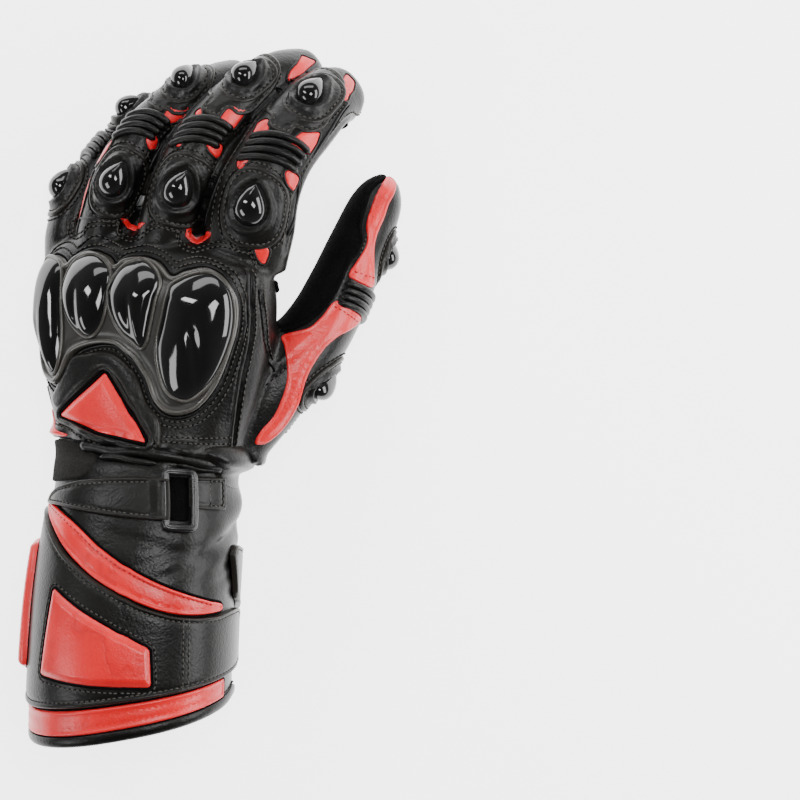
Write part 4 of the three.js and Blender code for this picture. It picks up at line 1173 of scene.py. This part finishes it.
def makeReds():
    parts, pipes = [], []
    for name, points, corner in fingerReds:
        loop = cornered(points, corner, 0.8)
        parts.append(panel("window", onFinger[name], loop, pillow(0.5, 1.0, 0.05), -0.5, 1.2, (0.3, 0.7)))
        pipes.append((onFinger[name], movedIn(loop, -0.45), 0.2, 0.5, True))
    for points in crotchReds:
        loop = movedIn(cornered(points, 0.6, 0.5), 0.42)
        parts.append(panel("lining", fromAbove, loop, pillow(0.6, 0.8, 0.1), -1.2, 0.9, (0.3, 0.6)))
    loop = cornered(rootRed, 0.8, 0.7)
    parts.append(panel("lining", fromAbove, loop, pillow(0.6, 1.0, 0.2), -1.6, 1.1, (0.3, 0.7)))
    pipes.append((fromAbove, movedIn(loop, -0.4), 0.15, 0.55, True))
    settle(joined("Red_finger_windows", parts), redLeather)
    pipes += [(fromAbove, curved(path, 0.8, False), 0.1, 0.55, False) for path in rootHems]
    pipes += [(onFinger[name], curved(path, 0.8, False), 0.1, 0.6, False) for name, path in fingerPiping]
    sweepPiece("Window_edges", pipes, blackLeather)
    # Thin dark cords over the sewn lines of the hand and beside the fingers' piping: painted shade in the seams.
    lines = [curved(path, 0.8, False) for path, _, _ in handSeams]
    seamShadeCords = [(onHand, line, -0.05, 0.55, False) for line in lines]
    for name, path in fingerPiping:
        line = curved(path, 0.8, False) + [0, 1.1 * np.sign(path[0][1])]
        seamShadeCords.append((onFinger[name], line, -0.05, 0.4, False))
    sweepPiece("Seam_lines", seamShadeCords, suede, 6)
    sweepPiece("Hand_piping", [(onHand, lines[0] - [0, 1.3], 0.2, 0.95, False)], blackLeather)


# Piping along the fingers' sides, in s and t.
fingerPiping = [
    ("index", [(86, 13), (76, 15.2), (69, 16.4), (61, 17.4), (53.6, 18.2), (46, 19), (41, 20.6), (36, 22),
               (26, 23), (17, 20)]),
    ("middle", [(96, 14.5), (83, 15.3), (75, 16), (66, 18.5), (57.6, 20), (46, 20.5), (36, 20.5), (28, 19)]),
    ("ring", [(92, 14.5), (80, 15.4), (70, 16), (61.6, 17), (52.8, 18), (44, 19), (35, 19.5), (27, 19)]),
    ("index", [(92, -13.5), (78, -16.5), (64, -17), (50, -16), (38, -17), (26, -18.5), (16, -20)]),
    ("middle", [(94, -12.5), (80, -13.5), (66, -13), (52, -13), (40, -14), (28, -15)]),
]
makeReds()
print("glove: finger armour made")

# Thumb: red strip, red root and the suede of its inner side.
thumbValues = {
    "strip": [(138.5, -20.3), (136.8, -13), (130.4, -12.3), (120.8, -13.8), (113.6, -14.1), (107.2, -14.8),
              (100.8, -14.4), (94.4, -12.4), (88.8, -9.4), (84.6, -6.6), (82.2, -12), (82, -20.8),
              (88.8, -19.9), (96, -18.2), (100.8, -18.4), (106.4, -20.6), (111.2, -21.2), (119.2, -20.9),
              (128, -20.6)],
    "root": [(44.8, -31.5), (53.6, -26.2), (60.8, -24.4), (70.2, -22), (70.6, -13.6), (71, -5.2),
             (67.2, -6.4), (62.4, -10.6), (58.4, -13.6), (52, -14.6), (43.2, -12.2), (36.8, -9),
             (28.8, -3.4), (21.6, 0.8), (14, 3.4), (6, 2.8), (3, -1), (8, -4), (16.8, -6), (25.6, -10.6),
             (32.8, -15.5), (38.4, -22), (42, -27.5)],
    "suede": [(137, -22.2), (126, -22.8), (114.9, -22.8), (106, -22.4), (100, -20), (94, -20.4), (86.9, -22),
              (78, -22.6), (69.3, -23.6), (61, -26), (53, -28.4), (45, -33.5), (40, -40), (36, -52),
              (46, -60), (62, -64), (84, -64), (104, -62), (122, -58), (136, -48)],
    "redStitches": [[(84.8, -18.6), (85.6, -14), (87.2, -9.5)], [(67.8, -21), (68, -14), (68.4, -8.4)]],
}


def makeThumb():
    ground = onFinger["thumb"]
    for name, key in (("Thumb_red_strip", "strip"), ("Thumb_red_root", "root")):
        loop = curved(thumbValues[key], 0.9)
        settle(panel(name, ground, loop, turnedEdge(0.75, 1.6, 0.1, 0.1), -0.5), redLeather)
    loop = curved(thumbValues["suede"], 1.0)
    settle(panel("Thumb_suede", ground, loop, turnedEdge(1.2, 1.8, 0.1), -0.5, 1.6), suede,
           ["thumb_tip_patch"])
    rows = [(ground, path, 0.75) for path in thumbValues["redStitches"]]
    stitchPiece("Thumb_red_stitching", rows, redThreadValues, redThread)


makeThumb()
for name, sides in fingerSeams.items():
    tube = fingerTubes[name]
    for t in sides:
        s = np.arange(14, tube.base + 4, 1.0)
        inside = seamPlace(tube, s, t) - np.sign(t) * 1.9
        fingerStitches.append((onFinger[name], np.stack([s, inside], axis=1), 0.15))
for path in rootStitches:
    line = curved(path, 1.0, False)
    fingerStitches.append((fromAbove, line, 0.3))
    fingerStitches.append((fromAbove, line - [0.3, 1.9], 0.3))
stitchPiece("Finger_stitching", fingerStitches)

# Back of the hand: the red triangle, the arch over it, sewn lines.
backValues = {
    "triangle": [(121.5, -36.6), (142.5, -12.6), (113.6, 6.6), (115.2, -14.7)],
    "archRows": [(-41, 127, 131), (-38, 124.5, 135), (-33, 126.8, 143), (-28, 131.5, 150),
                 (-20, 138.5, 151.3), (-13, 144, 152), (-6, 138.5, 149.5), (1, 127, 142.5), (6, 118.5, 131),
                 (9.5, 114.5, 127), (12, 112.8, 122)],
    "sideRed": [(125, -50), (121, -46.5), (116, -42.4), (113, -36), (112, -30), (111, -33), (111, -42),
                (113, -50), (119, -54)],
    "lowEdge": [(114, -40), (112.6, -28.8), (112.4, -9.6), (112.9, 6.1), (114, 24.6), (116, 44.4)],
}


def makeBack():
    triangle = cornered(backValues["triangle"], 1.6, 0.8)

    def puffed(depth, s, t):
        return 0.4 + 1.7 * np.clip(depth / 3.2, 0, 1) ** 0.8 + 0.3 * np.clip((depth - 3) / 5, 0, 1)

    settle(panel("Red_hand_pad", onHand, triangle, puffed, -0.4, 1.2, (0.3, 0.8, 1.5, 2.4, 3.2, 3.8)),
           redLeather, ["red_hand_pad"])
    # A cord of painted shade round the pad's foot.
    shadeGrooves.append((onHand, movedIn(triangle, -0.6), 0.3, 0.8, True))
    rims = [(onHand, movedIn(triangle, -2.6), 0.2, 1.45, True),
            (onHand, movedIn(guardLoop, -0.9), 0.1, 0.75, True)]
    sweepPiece("Hand_rims", rims, blackLeather, 10)
    # A cord of painted shade round the knuckle guard.
    shadeGrooves.append((onHand, movedIn(guardLoop, -0.2), 0.3, 0.5, True))
    sideRed = cornered(backValues["sideRed"], 1.0, 0.8)
    settle(panel("Hand_side_red", onHand, sideRed, pillow(0.7, 0.9, 0.1), -0.5, 1.2), redLeather)
    arch = curved(fromRows(backValues["archRows"]), 0.9)
    settle(panel("Hand_arch", onHand, arch, pillow(2.3, 2.8, 0.2), -0.4, 1.2, (0.3, 0.8, 1.5, 2.4)),
           blackLeather)
    rows = [(onHand, movedIn(guardLoop, -2.6), 0.35), (onHand, movedIn(guardLoop, -4.9), 0.35)]
    rows += [(onHand, movedIn(triangle, -4.9), 0.35)]
    low = curved(backValues["lowEdge"], 1.0, False)
    rows += [(onHand, low + [2.2, 0], 0.3), (onHand, low + [4.2, 0], 0.3)]
    rows += [(onHand, curved(path, 1.0, False) + [0, 2.0], 0.2) for path, _, _ in handSeams]
    stitchPiece("Hand_stitching", rows)


makeBack()
print("glove: back of the hand made")

# Wrist: strap, its ring and tab, hook tape, and the ribs at the little finger's side.
wristValues = {
    # Gathers: s, from and to in t, radius, phase of the waves.
    "gathers": [(109.4, -24, 46, 2.7, 0.4), (105.6, -14, 12, 1.6, 2.1), (106.2, 20, 42, 1.7, 0.6)],
    "strap": [(85.6, -46), (88, -43.6), (91.6, -39.6), (94.6, -34), (97.4, -22), (99, -8), (99.6, 6),
              (99.8, 16.4), (80.8, 16.4), (80.6, 4), (81.4, -8), (83, -22), (84.6, -34), (84.8, -42)],
    "slot": [(81, 16.6), (100.2, 16.6), (100.2, 24.6), (81, 24.6)],
    "ring": [(77.9, 14.4), (103.1, 14.4), (103.1, 26), (77.9, 26)],
    "box": [(88.8, 33), (99, 33), (99, 40), (88.8, 40)],      # stitches that hold the ring's tab
    "sideFold": [(115, 30), (105, 36), (97, 45), (96, 58), (99, 72), (106, 82), (115, 86), (118, 58)],
    "tab": [(86.8, 23.9), (100.6, 23.9), (101.4, 42), (87.2, 42)],
    "ribCount": 5,
    "ribsAt": [66, 80, 96, 112, 126, 138],      # -t, with the edges of the ribbed panel in s
    "ribsLow": [88, 87, 85.5, 84.5, 84.5, 87], "ribsHigh": [110, 110, 109.5, 108, 106, 104],
    "tape": [(96, -48), (109.2, -48), (110.2, -36), (108.6, -19), (105.4, -15), (100.8, -17), (98, -22),
             (96.5, -34)],
}


def makeWrist():
    strap = cornered(wristValues["strap"], 2.0, 0.9)
    edge = turnedEdge(2.0, 2.1)

    def overRing(depth, s, t):
        climb = np.clip((t - 7.5) / 5.5, 0, 1)
        return edge(depth, s, t) + 2.75 * climb * climb * (3 - 2 * climb)

    settle(panel("Wrist_strap", overCuff, strap, overRing, 0.2, 1.4, (0.3, 0.7, 1.1, 1.6, 2.1, 2.7)),
           blackLeather, ["wrist_strap"])
    tab = cornered(wristValues["tab"], 1.2, 0.9)
    settle(panel("Ring_tab", overCuff, tab, turnedEdge(2.0, 2.1), 0.2, 1.3, (0.3, 0.7, 1.1, 1.6, 2.1, 2.7)),
           blackLeather, ["ring_tab"])
    cords = []
    for first, low, high, radius, phase in wristValues["gathers"]:
        t = np.arange(low, high, 1.2)
        s = first + 0.7 * np.sin(t / 7.3 + phase) + 0.3 * np.sin(t / 3.1 + 2 * phase)
        lift = -0.4 + 0.5 * np.sin(t / 6.2 + phase)
        cords.append((overCuff, np.stack([s, t], axis=1), lift, radius, False))
    sweepPiece("Wrist_gathers", cords, blackLeather, 12)
    side = curved(wristValues["sideFold"], 1.0)

    def runOut(depth, s, t):
        return 0.1 + 5.2 * np.clip((s - 97) / 13, 0, 1) ** 1.2 * np.clip(depth / 5, 0, 1) ** 0.7

    settle(panel("Wrist_side_fold", onCuff, side, runOut, -0.5, 1.5, (0.4, 1.0, 2.0)), blackLeather)
    tape = cornered(wristValues["tape"], 1.5, 0.9)
    settle(panel("Hook_tape_patch", onCuff, tape, pillow(1.3, 0.7, 0.2), -0.3, 1.1), hookTape)
    # A dark suede sheet inside the ring: painted shadow in the slot.
    slot = cornered(wristValues["slot"], 0.6, 0.9)
    settle(panel("Ring_slot", overCuff, slot, pillow(1.5, 0.4, 0.6), -0.3, 1.4), suede)
    ringLoop = cornered(wristValues["ring"], 2.2, 0.8)
    cords = [(overCuff, ringLoop, 3.3, 1.35, True), (overCuff, movedIn(ringLoop, 0.9), 3.3, 1.1, True)]
    sweepPiece("Strap_ring", cords, ringPlastic, 14, ["strap_ring"])
    cords = []
    t = np.linspace(-66, -138, 60)
    low = np.interp(-t, wristValues["ribsAt"], wristValues["ribsLow"])
    high = np.interp(-t, wristValues["ribsAt"], wristValues["ribsHigh"])
    for k in range(wristValues["ribCount"]):
        s = low + (high - low) * (k + 0.5) / wristValues["ribCount"]
        cords.append((onCuff, np.stack([s, t], axis=1), 0.4, 2.35, False))
    sweepPiece("Wrist_stretch_ribs", cords, blackLeather, 14, ["wrist_stretch_panel"])
    seam = movedIn(strap, 2.1)
    seam = seam[seam[:, 1] < 8]      # the row stops before the ring
    turn = int(np.argmax(seam[:, 1] * (seam[:, 0] < 90)))
    rows = [(overCuff, np.roll(seam, -turn, axis=0), 1.75)]
    box = cornered(wristValues["box"], 0.5, 1.0)
    rows += [(overCuff, box, 1.95)]
    stitchPiece("Wrist_stitching", rows)


makeWrist()
print("glove: wrist made")

# Cuff trim: closing flap, red pads and bands.
cuffTrim = {
    "flapRows": [(76, 18, 37), (72, 14, 40.5), (62, 12.5, 42.5), (50, 12.5, 42.5), (40, 12.5, 41.2),
                 (30, 12.5, 41.6), (20, 12.5, 43.2), (7, 12.5, 47.8), (-2, 12.5, 52.3), (-12, 12.5, 57.3),
                 (-20, 12.5, 62.3), (-27, 12.5, 66.8), (-36, 12.5, 74.8), (-45, 12.5, 81.8),
                 (-52, 13, 84.6), (-62, 14, 85), (-75, 15, 84.5), (-90, 17, 82), (-105, 19, 77),
                 (-125, 22, 73), (-145, 26, 71), (-165, 32, 70), (-178, 40, 71), (-190, 45, 73),
                 (-197, 50, 69)],
    "bandRows": [(-47, 84, 86), (-43, 81.4, 86.4), (-36, 75.8, 84), (-27, 68, 79.6), (-20, 62.8, 75.4),
                 (-12, 57.6, 70), (-2, 52.6, 64.2), (7, 48.6, 59.8), (17, 45, 55.6), (27, 43, 52),
                 (37, 42.6, 48.8), (44, 43.4, 46.8)],
    "backPad": [(23.6, -35.6), (54, -30), (46.4, -17), (36.4, 1.4), (31, 10.9), (16.6, 11.6), (19.6, -12)],
    "sidePad": [(29, -52), (65, -52), (70, -57), (71.5, -65), (68, -71), (26, -71), (23, -65), (24.5, -57)],
    "lowBand": [(3.3, 48), (11.8, 48), (11.8, -80), (3.3, -80)],
    "palmPadRows": [(-84, 34, 70), (-95, 32, 65), (-107, 30, 59), (-122, 28, 51), (-136, 26, 44)],
}


def makeCuffTrim():
    flap = cornered(fromRows(cuffTrim["flapRows"]), 2.5, 1.1)
    wide = (0.3, 0.7, 1.1, 1.6, 2.1, 2.7, 3.5)
    flapItem = panel("Closing_flap", overCuff, flap, turnedEdge(2.3, 2.1, 0.3, 0.3), 0.15, 2.0, wide)
    settle(flapItem, blackLeather, ["closing_flap"])
    band = curved(fromRows(cuffTrim["bandRows"]), 0.9)
    settle(panel("Upper_red_band", onCuff, band, turnedEdge(1.3, 1.9, 0.2, 0.1), -0.4, 1.3,
                 (0.3, 0.7, 1.1, 1.6, 2.1)), redLeather, ["upper_red_band"])
    pad = cornered(cuffTrim["backPad"], 1.6, 0.8)

    def bevelled(depth, s, t):
        return 2.2 + 2.0 * np.clip(depth / 2.6, 0, 1) ** 0.75 + 0.2 * np.clip((depth - 2.6) / 6, 0, 1)

    settle(panel("Flap_red_pad", overCuff, pad, bevelled, 1.6, 1.3, (0.3, 0.8, 1.4, 2.0, 2.6, 3.2)),
           redLeather, ["flap_red_pad"])
    side = curved(cuffTrim["sidePad"], 0.9)
    settle(panel("Side_red_pad", overCuff, side, pillow(6.2, 3.0, 2.4), 1.6, 1.3,
                 (0.3, 0.8, 1.4, 2.2, 3.2)), redLeather, ["side_red_pad"])
    palm = cornered(fromRows(cuffTrim["palmPadRows"]), 3, 0.9)
    settle(panel("Flap_palm_pad", overCuff, palm, pillow(4.35, 2.4, 2.2), 1.6, 1.6, (0.3, 0.8, 1.6, 2.4)),
           blackLeather, ["flap_palm_pad"])
    low = cornered(cuffTrim["lowBand"], 1.0, 1.2)
    settle(panel("Lower_red_band", onCuff, low, turnedEdge(1.1, 1.8, 0.15, 0.1), -0.4, 1.4,
                 (0.3, 0.7, 1.2, 1.8)), redLeather, ["lower_red_band"])
    # Cords of painted shade round the red pads and bands.
    for loop, lift, ground in ((pad, 2.1, overCuff), (side, 2.1, overCuff), (band, 0.2, onCuff),
                               (low, 0.2, onCuff)):
        shadeGrooves.append((ground, movedIn(loop, -0.5), lift, 0.6, True))
    rows = [(overCuff, movedIn(flap, 2.1), 2.0), (overCuff, movedIn(pad, -2.0), 2.4)]
    down = np.stack([np.linspace(13.5, 41, 28), np.full(28, 26.4)], axis=1)
    rows += [(overCuff, down, 2.35), (overCuff, down - [0, 2.4], 2.35), (overCuff, movedIn(palm, -1.6), 2.35)]
    half = arm.halfRound(np.array([3.6]))[0]
    rows += [(onCuff, np.stack([np.full(200, 4.2), np.linspace(49, 2 * half - 82, 200)], axis=1), 0.2)]
    stitchPiece("Cuff_stitching", rows)
    upper = curved([(high - 1.7, t) for t, _, high in cuffTrim["bandRows"][1:-1]], 1.0, False)
    stitchPiece("Band_stitching", [(onCuff, upper, 1.15)], finish=redThread)


makeCuffTrim()
print("glove: cuff trim made")

# Palm side: suede patches, padded heel and edge pads, sewn lines.
palmValues = {
    "patch": [(186, -104), (180, -113), (178, -124), (176.5, -145), (178, -165), (182, -184), (188.5, -185),
              (190, -165), (191, -145), (190.5, -124), (190, -108)],
    "web": (152, 92, 12, 11),
    "heelRows": [(-98, 119.5, 122), (-110, 117, 125), (-124, 114.5, 127), (-131, 117, 128), (-138, 122, 128)],
    "edgePads": [(-57, 117.5, 20, 19), (-76, 147, 19, 28), (-82, 179, 10, 25)],
    "panelLoop": [(122, -84), (141, -88), (141, -118), (134, -131), (122, -131)],
}


def makePalm():
    patch = curved(palmValues["patch"], 0.9)
    settle(panel("Palm_patch", onHand, patch, turnedEdge(1.5, 1.8, 0.1), -0.4, 1.3), suede, ["palm_patch"])
    s, t, length, width = palmValues["web"]
    settle(panel("Thumb_web_patch", onHand, resampled(superOval((s, t), length, width, 2.0), 0.9),
                 turnedEdge(1.2, 1.8, 0.1), -0.4, 1.3), suede, ["thumb_web_patch"])
    heel = curved(fromRows(palmValues["heelRows"]), 0.8)
    settle(panel("Heel_pad", onHand, heel, pillow(2.5, 2.6, 0.3), -0.4, 1.2, (0.3, 0.8, 1.5, 2.3)),
           blackLeather, ["heel_pad"])
    rows = [(onHand, movedIn(heel, -1.2), 0.3)]
    for i, (t, s, length, reach) in enumerate(palmValues["edgePads"]):
        table = [(t - part * reach, s, s + length * (1 - 0.85 * part)) for part in (0, 1 / 3, 2 / 3, 1)]
        loop = cornered(fromRows(table), 1.5, 0.8)
        settle(panel(f"Edge_pad_{i + 1}", onHand, loop, pillow(2.4, 2.4, 0.3), -0.4, 1.2,
                     (0.3, 0.8, 1.5, 2.2)), blackLeather, [f"edge_pad_{i + 1}"])
        rows += [(onHand, movedIn(loop, -1.2), 0.3)]
    rows.append((onHand, curved(palmValues["panelLoop"], 1.0), 0.2))
    rows.append((onHand, movedIn(curved(palmValues["panelLoop"], 1.0), 2.0), 0.2))
    for name in ("index", "middle", "ring"):
        tube = fingerTubes[name]
        half = float(tube.halfRound(tube.base)[0])
        loop = cornered([(tube.base - 12, half - 12), (tube.length - 3, half - 12),
                         (tube.length - 3, half + 8), (tube.base - 12, half + 8)], 3, 0.9)
        settle(panel(f"{name.capitalize()}_tip_patch", onFinger[name], loop, turnedEdge(1.2, 1.6, 0.1),
                     -0.4, 1.3), suede, [f"{name}_tip_patch"])
    stitchPiece("Palm_stitching", rows)


makePalm()
# All cords of painted shade, in the suede finish.
sweepPiece("Seam_grooves", shadeGrooves, suede, 6)
print("glove: palm made")

# Floor, light and camera.
studioValues = {
    "floor": (0.95, 0.95, 0.945, 1), "glow": 3.2,
    "horizon": (0.9, 0.92, 0.95, 1), "zenith": (0.05, 0.05, 0.052, 1), "worldStrength": 0.3,
    "lights": [("Window", (0.76, 0.14, 0.52), (1.0, 0.36), 12.0),
               ("Slit", (-0.5, 0.42, 0.7), (0.12, 0.3), 2.5), ("Back", (-0.1, 1.0, 0.5), (0.9, 0.25), 4.0),
               ("Front", (-0.66, -0.28, 0.58), (0.44, 0.24), 3.0),
               ("Ceiling", (0.2, 0.25, 1.25), (0.4, 0.4), 8.6)],
    "camera": (0.0806, -0.0045, 1.010), "lens": 101.8,
}


def makeStudio():
    size = 4.0
    floor = newObject("Floor", [(-size, -size, 0), (size, -size, 0), (size, size, 0), (-size, size, 0)],
                      [(0, 1, 2, 3)], turn=False)
    look = Finish("Floor_paper", {"Roughness": 0.9, "Specular IOR Level": 0.05,
                                  "Emission Strength": studioValues["glow"],
                                  "Emission Color": (1, 1, 1, 1)})
    tone = look.noise(3.0, 2.0)
    look.send("Base Color", look.mix((tone * 0.3).clamp(), studioValues["floor"], (0.8, 0.8, 0.8, 1)))
    floor.data.materials.append(look.material)
    world = bpy.data.worlds.new("Studio")
    bpy.context.scene.world = world
    world.use_nodes = True
    nodes, links = world.node_tree.nodes, world.node_tree.links
    place, parts, sky = (nodes.new("ShaderNode" + kind) for kind in ("TexCoord", "SeparateXYZ", "Mix"))
    sky.data_type = "RGBA"
    links.new(place.outputs["Generated"], parts.inputs[0])
    links.new(parts.outputs["Z"], sky.inputs[0])
    sky.inputs[6].default_value, sky.inputs[7].default_value = studioValues["horizon"], studioValues["zenith"]
    links.new(sky.outputs[2], nodes["Background"].inputs[0])
    nodes["Background"].inputs[1].default_value = studioValues["worldStrength"]
    target = Vector((-0.02, 0, 0.03))
    for name, place, width, power in studioValues["lights"]:
        light = bpy.data.lights.new(name, "AREA")
        light.shape, light.size, light.size_y, light.energy = "RECTANGLE", width[0], width[1], power
        lamp = bpy.data.objects.new(name, light)
        lamp.location = place
        lamp.rotation_euler = (target - Vector(place)).to_track_quat("-Z", "Y").to_euler()
        bpy.context.scene.collection.objects.link(lamp)
    camera = bpy.data.cameras.new("Camera")
    camera.lens, camera.sensor_width = studioValues["lens"], 36
    camera.clip_start, camera.clip_end = 0.05, 20
    item = bpy.data.objects.new("Camera", camera)
    item.location = studioValues["camera"]
    bpy.context.scene.collection.objects.link(item)
    bpy.context.scene.camera = item


makeStudio()
print("glove: finished")
